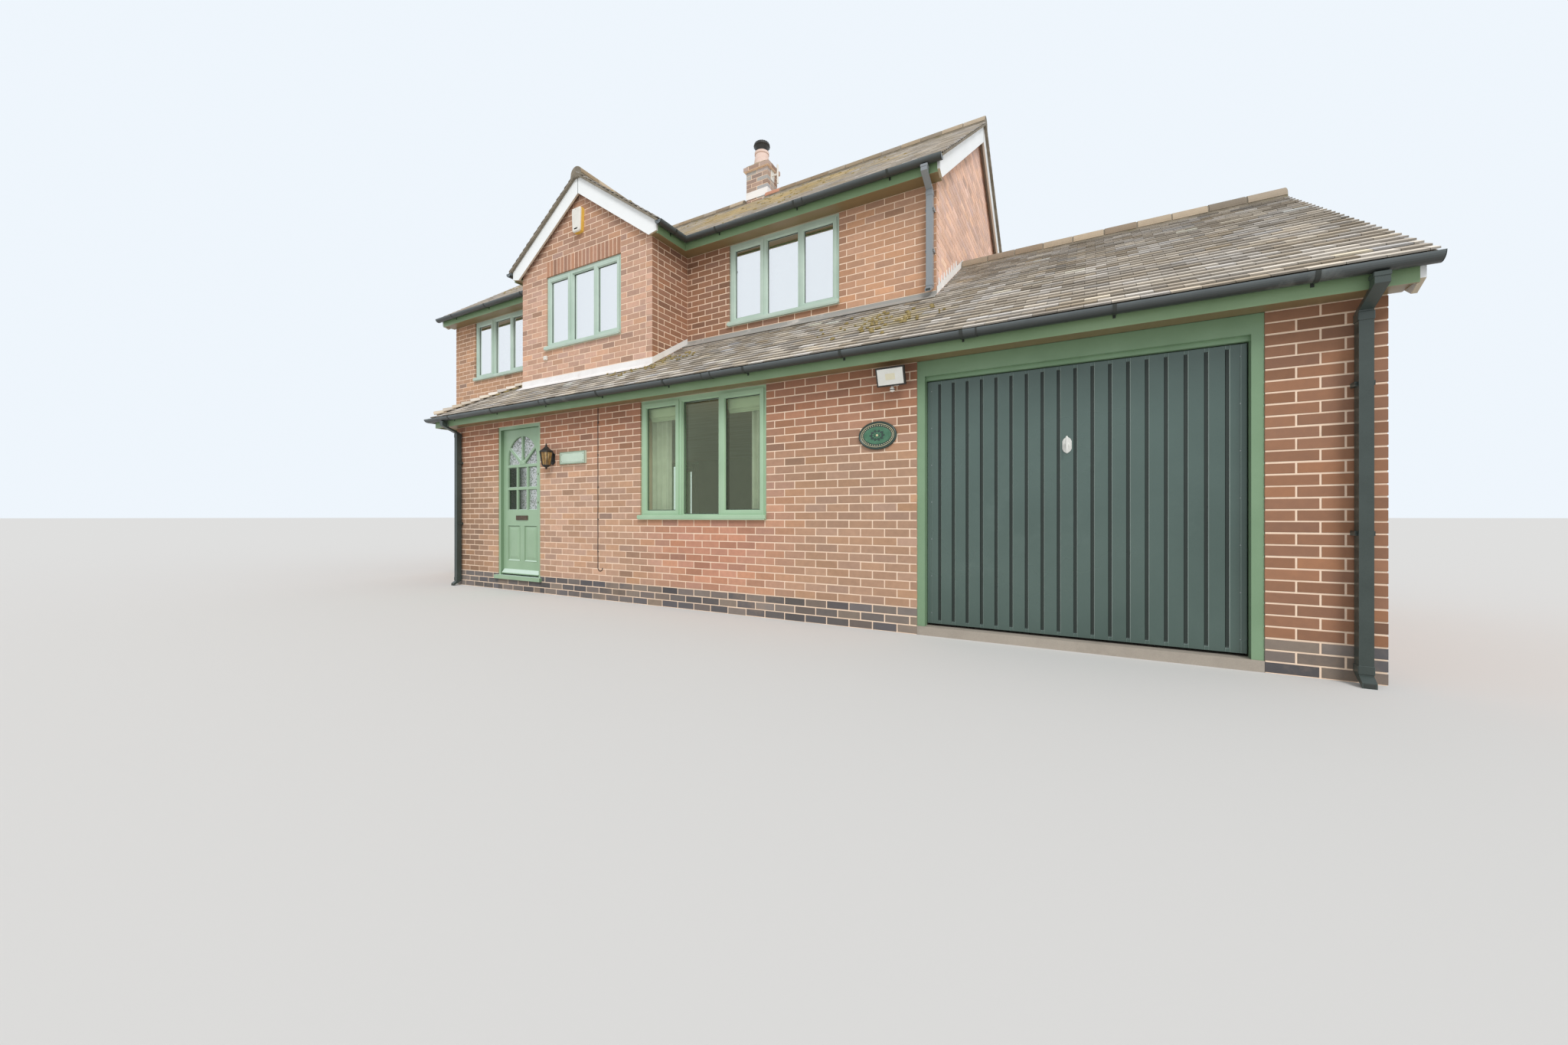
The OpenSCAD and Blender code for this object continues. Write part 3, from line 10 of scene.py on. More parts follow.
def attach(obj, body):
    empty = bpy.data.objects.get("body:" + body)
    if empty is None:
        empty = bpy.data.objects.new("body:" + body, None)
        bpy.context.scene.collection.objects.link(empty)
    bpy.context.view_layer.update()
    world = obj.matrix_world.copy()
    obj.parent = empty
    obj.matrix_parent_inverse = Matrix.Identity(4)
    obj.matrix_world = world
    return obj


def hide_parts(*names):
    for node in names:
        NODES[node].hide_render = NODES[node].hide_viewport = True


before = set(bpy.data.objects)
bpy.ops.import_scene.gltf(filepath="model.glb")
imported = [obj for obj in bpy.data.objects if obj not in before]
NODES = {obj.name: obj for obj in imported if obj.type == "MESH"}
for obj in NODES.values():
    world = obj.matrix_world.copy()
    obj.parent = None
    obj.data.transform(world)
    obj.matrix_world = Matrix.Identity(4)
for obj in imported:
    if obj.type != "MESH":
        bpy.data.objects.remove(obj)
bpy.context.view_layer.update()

# Set-out lines of the building, in millimetres, as the CAD part has them. The zero is the front left
# corner of the low block on the ground.
CENTRE_X, CENTRE_Y = 4870, 3487.5
FRONT_W = 9740
MAIN_X0, MAIN_X1, MAIN_Y0, MAIN_Y1 = -2060, 6810, 1125, 5850
RIDGE_Y = (MAIN_Y0 + MAIN_Y1) / 2
GARAGE_D = 4875
GARAGE_RIDGE_Y = GARAGE_D / 2
BAY_X0, BAY_X1, BAY_Y = 900, 3470, 450
BAY_MID = (BAY_X0 + BAY_X1) / 2
COURSE, STRETCHER, JOINT, BRICK_DEEP = 75, 225, 11, 102.5
LOW_SOFFIT, UP_SOFFIT = 2325, 4500
LOW_EDGE, UP_EDGE = LOW_SOFFIT + 150, UP_SOFFIT + 150
REACH, BAY_REACH = 250, 180
VERGE, BAY_VERGE = 115, 100
EAVES, BAY_EAVES = 200, 130
LEAN_TAN, MAIN_TAN, BAY_TAN = (tan(radians(a)) for a in (32, 37, 35))
LEFT_WIN, RIGHT_WIN, UPPER_W, UPPER_H = -1450, 4160, 1540, 1050
BAY_WIN, BAY_WIN_W, BAY_WIN_Z = BAY_MID - 740, 1480, 3375
GROUND_WIN, GROUND_W, GROUND_H = 3712, 1698, 1350
GROUND_Z, UPPER_Z = LOW_SOFFIT - GROUND_H, UP_SOFFIT - UPPER_H
DOOR_X0, DOOR_X1, DOOR_Z0, DOOR_Z1 = 1012, 1922, 150, 2250
GARAGE_X0, GARAGE_X1 = 6920, 9180
STACK_X0, STACK_X1, STACK_Y0, STACK_Y1 = 2845, 3285, RIDGE_Y + 8, RIDGE_Y + 348
OVERSAIL = 40
RIDGE_R, RIDGE_DROP = 105, 50
GUTTER_W, GUTTER_DROP = 112, 42
LEAD_T = 4


def lean_z(run):
    return LOW_EDGE + (run + REACH) * LEAN_TAN


def main_z(y):
    return UP_EDGE + (y - MAIN_Y0 + REACH) * MAIN_TAN


def bay_z(side):
    return UP_EDGE + (side + BAY_REACH) * BAY_TAN


RIDGE_Z = main_z(RIDGE_Y)
BAY_RIDGE_Z = bay_z(BAY_MID - BAY_X0)
GARAGE_RIDGE_Z = lean_z(GARAGE_RIDGE_Y)
STACK_TOP = RIDGE_Z + 630


def metres(x, y, z):
    return ((x - CENTRE_X) / 1000, (y - CENTRE_Y) / 1000, z / 1000)


def tone(r, g, b):
    """An sRGB colour, 0 to 255, as the linear colour that a shader takes."""
    return tuple((c / 255 / 12.92 if c < 10 else ((c / 255 + 0.055) / 1.055) ** 2.4) for c in (r, g, b)) + (1,)


def blend(a, b, share):
    """A colour between two, where the share is held from 0 to 1."""
    share = min(1, max(0, share))
    return tuple(p + (q - p) * share for p, q in zip(a, b))


# Materials


def node(tree, kind, inputs=None, **props):
    made = tree.nodes.new("ShaderNode" + kind)
    for key, value in props.items():
        setattr(made, key, value)
    for key, value in (inputs or {}).items():
        if isinstance(value, bpy.types.NodeSocket):
            tree.links.new(value, made.inputs[key])
        else:
            made.inputs[key].default_value = value
    return made


def start(name):
    made = bpy.data.materials.new(name)
    made.use_nodes = True
    made.node_tree.nodes.clear()
    return made, made.node_tree


def end(tree, shader):
    node(tree, "OutputMaterial", {"Surface": shader})


def place(tree, stretch=(1, 1, 1)):
    point = node(tree, "TexCoord").outputs["Object"]
    return node(tree, "Mapping", {"Vector": point, "Scale": stretch}).outputs[0]


def cloud(tree, point, scale, detail=4, rough=0.55):
    inputs = {"Vector": point, "Scale": scale, "Detail": detail, "Roughness": rough}
    return node(tree, "TexNoise", inputs).outputs["Fac"]


def band(tree, value, low, high, to_low=0.0, to_high=1.0):
    """Carries a value from the range low to high over to another range."""
    ends = {"Value": value, "From Min": low, "From Max": high, "To Min": to_low, "To Max": to_high}
    return node(tree, "MapRange", ends).outputs[0]


def mix(tree, share, a, b, blend_type="MIX"):
    """A colour between a and b. Sockets 0, 6 and 7 and output 2 are those for colours."""
    return node(tree, "Mix", {0: share, 6: a, 7: b}, data_type="RGBA", blend_type=blend_type).outputs[2]


def bump(tree, height, strength, distance):
    return node(tree, "Bump", {"Height": height, "Strength": strength, "Distance": distance}).outputs[0]


def axis_of(tree, vector, axis):
    return node(tree, "SeparateXYZ", {"Vector": vector}).outputs["XYZ".index(axis)]


def reckon(tree, operation, *values):
    return node(tree, "Math", dict(enumerate(values)), operation=operation).outputs[0]


def opaque(made, shade, rough, normal, more=None):
    inputs = {"Base Color": shade, "Roughness": rough, "Normal": normal, **(more or {})}
    end(made.node_tree, node(made.node_tree, "BsdfPrincipled", inputs).outputs[0])
    return made


def coat(name, colour, other, scale=9, fine=200, rough=(0.35, 0.5), height=0.2, depth=0.0003,
         stain=None, stain_at=(0.58, 0.72), stretch=(1, 1, 1), shader=None, facing=(), above=()):
    """A surface of one colour that drifts to another, with fine grain, uneven gloss and stains.

    facing lists (axis, low, high, colour): faces turned that way take the colour. above lists heights in
    metres and the colour over each. Colours are 0 to 255.
    """
    made, tree = start(name)
    colour, other = tone(*colour), tone(*other)
    point = place(tree, stretch)
    broad, grain = cloud(tree, point, scale), cloud(tree, point, fine, 3)
    shade = mix(tree, band(tree, broad, 0.35, 0.65), colour, other)
    shade = mix(tree, 0.35, shade, mix(tree, band(tree, grain, 0.3, 0.7), colour, other))
    for height_at, own in above:
        level = axis_of(tree, place(tree), "Z")
        shade = mix(tree, band(tree, level, height_at, height_at + 0.01), shade, tone(*own))
    for axis, low, high, own in facing:
        turned = axis_of(tree, node(tree, "NewGeometry").outputs["True Normal"], axis)
        shade = mix(tree, band(tree, turned, low, high), shade, tone(*own))
    if stain:
        patches = cloud(tree, place(tree), scale * 0.45, 6, 0.65)
        shade = mix(tree, band(tree, patches, *stain_at, 0, 0.75), shade, tone(*stain))
    return opaque(made, shade, band(tree, broad, 0.3, 0.7, *rough), bump(tree, grain, height, depth), shader)


def laid(name, rough, fine, depth, speck, speck_share, weather, weather_at, weather_scale, strength):
    """Bricks and tiles: each has its colour in the mesh, in places with painted shade and light, and the
    shader adds grain and weather.
    """
    made, tree = start(name)
    point = place(tree)
    own = node(tree, "Attribute", attribute_name="tint").outputs["Color"]
    grain, blot = cloud(tree, point, fine, 5, 0.7), cloud(tree, point, fine / 7, 4)
    drift = mix(tree, band(tree, blot, 0.3, 0.7), (0.8, 0.79, 0.78, 1), (1.18, 1.19, 1.2, 1))
    shade = mix(tree, 0.35, own, mix(tree, 1.0, own, drift, "MULTIPLY"))
    shade = mix(tree, band(tree, grain, 0.6, 0.8, 0, speck_share), shade, tone(*speck))
    patches = cloud(tree, point, weather_scale, 7, 0.7)
    shade = mix(tree, band(tree, patches, *weather_at, 0, strength), shade, tone(*weather))
    return opaque(made, shade, band(tree, blot, 0.3, 0.7, *rough), bump(tree, grain, 0.6, depth))


def sheer(name, tint, gloss, ripple, ripple_scale, rough=0.02, above=None, mottle=None):
    """Window glass: clear straight through, with a mirror share that grows towards the edge of view.

    above is a height in metres, the mirror share that panes over it gain, a painted reflection, and the
    colour of the mirror below, a painted tint of reflection. mottle is the size of a pressed pattern, the
    mirror share it gains, a painted reflection, and the two places (axis, low, high) that it grows over.
    """
    made, tree = start(name)
    waves = cloud(tree, place(tree), ripple_scale, 2)
    normal = bump(tree, waves, 1.0, ripple)
    # On the way out of the pane the index is turned over, or the far face would mirror all of it
    out = node(tree, "NewGeometry").outputs["Backfacing"]
    index = reckon(tree, "MULTIPLY_ADD", out, 1 / gloss - gloss, gloss)
    share = node(tree, "Fresnel", {"IOR": index, "Normal": normal}).outputs[0]
    clear = node(tree, "BsdfTransparent", {"Color": tint}).outputs[0]
    shine = {"Roughness": rough, "Normal": normal}
    # Panes over the height gain a painted reflection, and the mirror below takes a painted tint
    if above:
        high = band(tree, axis_of(tree, place(tree), "Z"), above[0], above[0] + 0.01)
        share = reckon(tree, "ADD", share, reckon(tree, "MULTIPLY", high, above[1]))
        shine["Color"] = mix(tree, high, above[2], (1, 1, 1, 1))
    # The pressed pattern adds a painted reflection, only over the places given
    if mottle:
        size, gained, places = mottle
        lit = [band(tree, axis_of(tree, place(tree), axis), low, high) for axis, low, high in places]
        lit = reckon(tree, "MAXIMUM", *lit)
        pattern = band(tree, cloud(tree, place(tree), size, 3, 0.6), 0.36, 0.54, 0.25 * gained, gained)
        share = reckon(tree, "ADD", share, reckon(tree, "MULTIPLY", pattern, lit))
    shine = node(tree, "BsdfGlossy", shine).outputs[0]
    end(tree, node(tree, "MixShader", {0: share, 1: clear, 2: shine}).outputs[0])
    return made


BRICK = laid("brick_face", (0.8, 0.95), 150, 0.001, (120, 84, 64), 0.3, (168, 132, 108), (0.6, 0.82), 1.1, 0.2)
PLINTH = laid("plinth_brick", (0.6, 0.8), 120, 0.001, (84, 80, 78), 0.5, (164, 142, 120), (0.5, 0.75), 2.2,
              0.55)
TILE = laid("roof_tile_face", (0.85, 0.97), 110, 0.002, (110, 100, 86), 0.45, (158, 142, 96), (0.62, 0.78),
            1.3, 0.35)
MORTAR = coat("mortar", (252, 227, 202), (241, 214, 189), 9, 300, (0.85, 0.98), 0.8, 0.001, (196, 174, 146),
              (0.6, 0.8))
TILE_MORTAR = coat("bedding", (150, 140, 124), (112, 104, 90), 8, 200, (0.85, 0.98), 0.9, 0.002,
                   (120, 112, 70))
PLASTER = coat("plaster", (196, 190, 170), (182, 174, 154), 2, 160, (0.7, 0.9), 0.2, 0.0008)
BLOCKS = coat("blockwork", (168, 160, 148), (140, 134, 124), 3, 220, (0.8, 0.95), 0.8, 0.002)
CONCRETE = coat("concrete_face", (184, 174, 160), (160, 150, 138), 2.5, 140, (0.6, 0.85), 0.5, 0.001,
                (120, 112, 102))
BOARDS = coat("floor_face", (176, 138, 96), (146, 108, 70), 5, 120, (0.4, 0.6), 0.3, 0.0006,
              stretch=(0.3, 6, 1))
LEAD_BRIGHT = coat("new_lead_face", (238, 240, 240), (222, 225, 226), 7, 90, (0.5, 0.7), 0.5, 0.001,
                   (200, 198, 194))
LEAD = coat("lead_face", (248, 246, 244), (236, 232, 230), 7, 90, (0.5, 0.7), 0.5, 0.001, (220, 212, 204),
            facing=[("X", 0.5, 0.9, (238, 236, 233))], above=[(3.2, (164, 162, 156)), (5, (250, 246, 242))])
# Faces turned down take painted shade
WHITE_PAINT = coat("white_paint", (250, 252, 252), (244, 247, 246), 2.5, 260, (0.3, 0.45), 0.2, 0.0004,
                   (206, 206, 190), (0.68, 0.85), facing=[("Z", -0.6, -0.9, (190, 176, 150))])
# Faces turned down go brown: partly the soffits' own brown, partly painted shade
SOFFIT_BROWN_AND_SHADE = ("Z", -0.6, -0.9, (136, 118, 84))
GREEN_PAINT = coat("green_paint", (138, 164, 124), (124, 152, 112), 2.2, 240, (0.3, 0.5), 0.3, 0.0004,
                   (108, 126, 90), (0.64, 0.8), facing=[SOFFIT_BROWN_AND_SHADE])
FRAME_PAINT = coat("frame_paint", (134, 164, 130), (120, 150, 116), 2.2, 240, (0.3, 0.5), 0.3, 0.0004,
                   (112, 132, 98), (0.66, 0.8))
SAGE_PAINT = coat("sage_paint", (176, 206, 174), (163, 194, 161), 2.4, 260, (0.32, 0.5), 0.2, 0.0004,
                  (150, 172, 142), (0.68, 0.82))
# Faces turned right and down take painted shade, and faces turned up a painted highlight
DOOR_SAGE_AND_SHADE = coat("door_sage_paint_and_shade", (161, 189, 158), (148, 177, 145), 2.4, 260, (0.32, 0.5), 0.2, 0.0004,
                 (142, 162, 132), (0.68, 0.82),
                 facing=[("X", 0.3, 0.8, (120, 146, 116)), ("Z", -0.3, -0.8, (84, 108, 80)),
                         ("Z", 0.3, 0.6, (206, 226, 212))])
PALE_FRAME = coat("pale_frame_paint", (196, 214, 200), (178, 199, 184), 3.2, 260, (0.32, 0.5), 0.2, 0.0004,
                  (172, 186, 174), (0.66, 0.82))
PALE_SAGE = coat("pale_sage_paint", (206, 224, 206), (196, 214, 196), 9, 260, stain=(176, 192, 172),
                 stain_at=(0.66, 0.82))
RIM_SAGE = coat("rim_paint", (150, 166, 142), (126, 142, 118), 9, 260, stain=(104, 116, 96),
                stain_at=(0.66, 0.82))
# Faces turned below level take painted shade, darkest underneath
GUTTER = coat("gutter_face", (112, 120, 122), (96, 104, 106), 5, 160, (0.28, 0.42), 0.15, 0.0003,
              (136, 140, 136), (0.62, 0.78), facing=[("Z", 0.1, -0.8, (58, 62, 60))])
GUTTER_STRAP = coat("gutter_strap", (58, 62, 58), (46, 50, 46))
PIPE = coat("pipe_face", (66, 76, 72), (54, 64, 60), 5, 160, (0.28, 0.42), 0.15,
            above=[(2.55, (142, 148, 152))])
# Painted highlight on faces turned left and painted shade on faces turned right, for the walls of the garage
# door's grooves
DOOR_LIT = ("X", -0.25, -0.7, (176, 194, 186))
DOOR_SHADED = ("X", 0.25, 0.7, (22, 34, 30))
# Painted shade for the floors of the garage door's grooves
GROOVE_SHADE = coat("painted_groove_shade", (38, 50, 44), (28, 38, 33), 1.1, 320, (0.4, 0.6), 0.1)
STEEL_PAINT = coat("door_steel_face", (84, 104, 97), (68, 88, 81), 1.1, 320, (0.24, 0.38), 0.1, 0.0003,
                   (112, 131, 124), (0.56, 0.78), (1, 1, 1), {"Coat Weight": 0.35, "Coat Roughness": 0.15},
                   [DOOR_LIT, DOOR_SHADED])
ZINC = coat("zinc_face", (168, 172, 172), (140, 144, 146), 22, 200, (0.32, 0.5), shader={"Metallic": 0.9})
CHROME = coat("handle_face", (238, 238, 232), (216, 216, 210), 30, 200, (0.2, 0.35))
BLACK = coat("black_face", (52, 50, 46), (38, 36, 34), 12, 200, (0.35, 0.55), 0.3, 0.0004, (84, 76, 64),
             (0.64, 0.8))
BRONZE = coat("bronze_face", (96, 78, 56), (66, 54, 40), 20, 200, (0.35, 0.55), 0.3, 0.0004)
RUBBER = coat("cable_face", (46, 40, 36), (60, 52, 46), 14, 200, (0.5, 0.7), 0.2, 0.0002)
PLASTIC = coat("white_plastic_face", (238, 236, 228), (226, 222, 212), 9, 200, (0.35, 0.5), 0.15, 0.0002,
               (206, 194, 166), (0.66, 0.82))
YELLOW = coat("yellow_plastic_face", (240, 200, 96), (228, 184, 78), height=0.15, depth=0.0002)
CLAY = coat("clay_face", (240, 218, 206), (226, 198, 184), 9, 150, (0.75, 0.9), 0.6, 0.001, (186, 168, 152),
            (0.6, 0.78))
MOSS = coat("moss", (167, 146, 92), (128, 113, 68), 26, 400, (0.9, 1.0), 1.0, 0.004, (186, 168, 124),
            (0.5, 0.65))
FLAUNCHING = coat("flaunching", (178, 164, 138), (150, 136, 108), 12, 200, (0.85, 0.98), 0.9, 0.002,
                  (150, 140, 84))
PLAQUE = coat("plaque_face", (60, 78, 72), (48, 66, 60), 12, 240, (0.3, 0.45))
LEAF_GREEN = coat("plaque_green", (84, 132, 104), (60, 104, 78), 20, 240)
CREAM = coat("cream_face", (224, 214, 178), (206, 194, 152), 20, 240)
AMBER = coat("amber_glass", (190, 154, 96), (124, 94, 54), 14, 60, (0.12, 0.3), 0.4, 0.0008,
             (228, 208, 162), (0.5, 0.7))
LAMP_FACE = coat("lamp_face", (238, 238, 232), (228, 228, 220), 16, 300, (0.2, 0.3), 0.15, 0.0002)
LAMP_CHIP = coat("lamp_chip", (234, 229, 204), (226, 219, 190), 16, 300, (0.25, 0.35), 0.15, 0.0002)
CURTAIN = coat("curtain_cloth", (204, 207, 188), (186, 189, 169), 10, 700, (0.85, 0.98), 0.6, 0.0006,
               shader={"Sheen Weight": 0.3})
NET = coat("net_cloth", (250, 251, 250), (242, 244, 243), 6, 900, (0.85, 0.98), 0.5, 0.0004)
BLIND = coat("blind_cloth", (196, 208, 176), (182, 196, 162), 8, 700, (0.85, 0.98), 0.5, 0.0004)
GASKET = coat("gasket", (66, 76, 68), (50, 58, 52), 12, 200, (0.5, 0.7), 0.1, 0.0002)
# Panes above 3 m gain a painted reflection, and lower panes mirror with a painted olive tint
GLASS = sheer("clear_pane", (0.93, 0.97, 0.93, 1), 1.75, 0.0004, 3, above=(3.0, 0.78, (0.82, 0.86, 0.6, 1)))
# The pressed pattern's extra mirror share is a painted reflection, laid only over two places
OBSCURE = sheer("obscure_pane", (0.42, 0.52, 0.34, 1), 1.6, 0.012, 70, 0.05,
                mottle=(42, 0.95, [("X", -3.5, -3.25), ("Z", 1.66, 1.74)]))

CAD_LOOKS = {
    GLASS: ["window_glass"],
    OBSCURE: ["front_door_glass"],
    GREEN_PAINT: ["fascias_and_soffits"],
    FRAME_PAINT: ["garage_timber_frame"],
    SAGE_PAINT: ["ground_window", "rear_windows"],
    PALE_FRAME: ["bay_window", "upper_left_window", "upper_right_window"],
    DOOR_SAGE_AND_SHADE: ["door_frame", "front_door"],
    PALE_SAGE: ["name_plate"],
    WHITE_PAINT: ["bargeboards"],
    PIPE: ["downpipes"],
    ZINC: ["garage_steel_frame", "garage_door_arms", "garage_door_pivots"],
    BRONZE: ["front_door_fittings"],
    BLACK: ["chimney_cowl"],
    CLAY: ["chimney_pot"],
    LEAD: ["lead_flashing"],
    PLASTIC: ["aerial_bracket"],
    CONCRETE: ["garage_floor"],
    BOARDS: ["ground_floor", "first_floor"],
}
for look, names in CAD_LOOKS.items():
    for name in names:
        for spot in NODES[name].material_slots:
            spot.material = look


# Meshes


def circle(count, begin=0.0):
    """Cosine and sine of angles spread evenly round, from an angle to begin at."""
    return [(cos(tau * i / count + begin), sin(tau * i / count + begin)) for i in range(count)]


def half_circle(count):
    return [(cos(pi * i / count), sin(pi * i / count)) for i in range(count + 1)]


def both_sides(right):
    """An outline from its right half, which begins and ends on the middle line."""
    return right + [(-x, z) for x, z in reversed(right[1:-1])]


class Pile:
    """Faces that become one object. Each face has a material and, where it needs one, its own colour."""

    def __init__(self, *looks):
        self.looks, self.points, self.faces, self.mats, self.tints = list(looks), [], [], [], []

    def add(self, points, faces, look=0, tint=(1, 1, 1)):
        base = len(self.points)
        self.points += points
        for face in faces:
            self.faces.append([base + i for i in face])
            self.mats.append(look)
            self.tints.append(tint)

    def box(self, x0, x1, y0, y1, z0, z1, look=0, edge=0.0):
        """A block in set-out millimetres, with its corners taken off by edge."""
        if not edge:
            points = [metres(x, y, z) for z in (z0, z1) for y in (y0, y1) for x in (x0, x1)]
            faces = [(0, 2, 3, 1), (4, 5, 7, 6), (0, 1, 5, 4), (2, 6, 7, 3), (0, 4, 6, 2), (1, 3, 7, 5)]
            self.add(points, faces, look)
            return
        rings = []
        for z, step in ((z0, edge), (z0 + edge, 0), (z1 - edge, 0), (z1, edge)):
            a, b, c, d = x0 + step, x1 - step, y0 + step, y1 - step
            e = edge if not step else edge * 0.6
            front = [(a + e, c), (b - e, c), (b, c + e), (b, d - e)]
            back = [(b - e, d), (a + e, d), (a, d - e), (a, c + e)]
            rings.append([metres(x, y, z) for x, y in front + back])
        self.loft(rings, look)

    def loft(self, rings, look=0, tint=(1, 1, 1), caps=True, closed=True, flip=False):
        """A skin over rings of as many points each: caps close its ends, and closed its rings."""
        n = len(rings[0])
        faces = []
        for r in range(len(rings) - 1):
            for i in range(n if closed else n - 1):
                j = (i + 1) % n
                faces.append((r * n + i, r * n + j, (r + 1) * n + j, (r + 1) * n + i))
        if caps:
            faces.append(tuple(range(n - 1, -1, -1)))
            faces.append(tuple((len(rings) - 1) * n + i for i in range(n)))
        if flip:
            faces = [face[::-1] for face in faces]
        self.add([p for ring in rings for p in ring], faces, look, tint)

    def turn(self, centre, profile, look=0, sides=24, begin=0.0):
        """An upright turned form: (radius, height) pairs round a centre in set-out millimetres."""
        x, y, z = centre
        ring = circle(sides, begin)
        self.loft([[metres(x + r * c, y + r * s, z + h) for c, s in ring] for r, h in profile], look)

    def stud(self, x, y, z, profile, look=0, sides=8):
        """A turned form that stands out of the front: (radius, depth) pairs."""
        ring = circle(sides)
        self.loft([[metres(x + r * c, y - h, z + r * s) for c, s in ring] for r, h in profile], look)

    def tube(self, path, radius, look=0, sides=8):
        """A round bar through points in set-out millimetres."""
        path = [Vector(p) for p in path]
        rings = []
        side = None
        for i, p in enumerate(path):
            way = (path[min(i + 1, len(path) - 1)] - path[max(i - 1, 0)]).normalized()
            if side is None:
                side = way.orthogonal().normalized()
            side = (side - way * side.dot(way)).normalized()
            up = way.cross(side)
            rings.append([metres(*(p + radius * (side * c + up * s))) for c, s in circle(sides)])
        self.loft(rings, look)

    def prism(self, at, outline, deep0, deep1, look=0, edge=0.0, flip=False):
        """An outline in (u, z) given depth by the function at(u, depth, z), its front edge eased."""
        n = len(outline)
        mid_u, mid_z = sum(p[0] for p in outline) / n, sum(p[1] for p in outline) / n
        rings = []
        front = [(deep0, edge), (deep0 + edge, 0)] if edge else [(deep0, 0)]
        for depth, inset in [*front, (deep1, 0)]:
            ring = []
            for u, z in outline:
                size = max(1.0, hypot(u - mid_u, z - mid_z))
                ring.append(at(u - (u - mid_u) / size * inset, depth, z - (z - mid_z) / size * inset))
            rings.append(ring)
        self.loft(rings, look, flip=flip)

    def moulding(self, at, x0, x1, z0, z1, profile, look=0):
        """A closed profile of (inset, depth) pairs carried round a rectangle with mitred corners."""
        rings = []
        for inset, depth in profile + profile[:1]:
            corners = rect(x0 + inset, x1 - inset, z0 + inset, z1 - inset)
            rings.append([at(u, depth, z) for u, z in corners])
        self.loft(rings, look, caps=False)

    def swing(self, since, pivot, degrees):
        """Leans the points made since a count about a pivot in set-out millimetres."""
        pivot = Vector(metres(*pivot))
        turn = Matrix.Rotation(radians(degrees), 3, "X")
        self.points[since:] = [tuple(turn @ (Vector(p) - pivot) + pivot) for p in self.points[since:]]

    def make(self, name, body="house", slot=None, replaced=(), smooth=False, outwards=False):
        """Makes the object, and turns the faces of each closed form outwards where that is asked."""
        mesh = bpy.data.meshes.new(name)
        mesh.from_pydata(self.points, [], self.faces)
        for look in self.looks:
            mesh.materials.append(look)
        mesh.polygons.foreach_set("material_index", self.mats)
        if any(t != (1, 1, 1) for t in self.tints):
            layer = mesh.color_attributes.new("tint", "FLOAT_COLOR", "CORNER")
            flat = []
            for poly, t in zip(mesh.polygons, self.tints):
                flat += (tuple(t[:3]) + (1.0,)) * poly.loop_total
            layer.data.foreach_set("color", flat)
        if smooth:
            mesh.shade_smooth()
            mesh.set_sharp_from_angle(angle=radians(38))
        mesh.update()
        made = bpy.data.objects.new(name, mesh)
        bpy.context.collection.objects.link(made)
        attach(made, body)
        if replaced:
            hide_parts(*replaced)
        if outwards:
            work = bmesh.new()
            work.from_mesh(mesh)
            bmesh.ops.recalc_face_normals(work, faces=work.faces)
            work.to_mesh(mesh)
            work.free()
        return made


class Mirrored(Pile):
    """Takes faces whose along and up directions make a left-handed pair."""

    def add(self, points, faces, look=0, tint=(1, 1, 1)):
        super().add(points, [f[::-1] for f in faces], look, tint)


def cut(poly, x0, y0, x1, y1):
    """The part of a polygon to the left of the line from the first point to the second."""
    kept = []
    for i, (ax, ay) in enumerate(poly):
        bx, by = poly[(i + 1) % len(poly)]
        a = (x1 - x0) * (ay - y0) - (y1 - y0) * (ax - x0)
        b = (x1 - x0) * (by - y0) - (y1 - y0) * (bx - x0)
        if a >= 0:
            kept.append((ax, ay))
        if (a > 0 > b) or (a < 0 < b):
            t = a / (a - b)
            kept.append((ax + (bx - ax) * t, ay + (by - ay) * t))
    return kept


def within(poly, region):
    for i, (x0, y0) in enumerate(region):
        poly = cut(poly, x0, y0, *region[(i + 1) % len(region)])
        if len(poly) < 3:
            return []
    return poly


def area(poly):
    return sum(a[0] * b[1] - b[0] * a[1] for a, b in zip(poly, poly[1:] + poly[:1])) / 2


def rect(u0, u1, z0, z1):
    return [(u0, z0), (u1, z0), (u1, z1), (u0, z1)]


def facing_front(plane):
    return (lambda u, d, z: metres(u, plane + d, z)), False


def facing_back(plane):
    return (lambda u, d, z: metres(u, plane - d, z)), True


def facing_left(plane):
    return (lambda u, d, z: metres(plane + d, u, z)), True


def facing_right(plane):
    return (lambda u, d, z: metres(plane - d, u, z)), False


# Walls: the mortar body is the CAD wall set back by a few millimetres, and real bricks stand in it

MORTAR_BACK = 3.5
ARRIS = 1.8
# Each is an axis, where a face stands on it, and the way that the mortar moves in
SET_BACK = [
    (1, 0, 1), (1, MAIN_Y0, 1), (1, BAY_Y, 1), (1, MAIN_Y1, -1), (1, GARAGE_D, -1),
    (0, 0, 1), (0, MAIN_X0, 1), (0, MAIN_X1, -1), (0, FRONT_W, -1), (0, BAY_X0, 1), (0, BAY_X1, -1),
    (0, DOOR_X0, -1), (0, DOOR_X1, 1), (0, GROUND_WIN, -1), (0, GROUND_WIN + GROUND_W, 1),
    (0, GARAGE_X0, -1), (0, GARAGE_X1, 1), (0, LEFT_WIN, -1), (0, LEFT_WIN + UPPER_W, 1),
    (0, RIGHT_WIN, -1), (0, RIGHT_WIN + UPPER_W, 1), (0, BAY_WIN, -1), (0, BAY_WIN + BAY_WIN_W, 1),
    (2, BAY_WIN_Z + UPPER_H, 1),
]
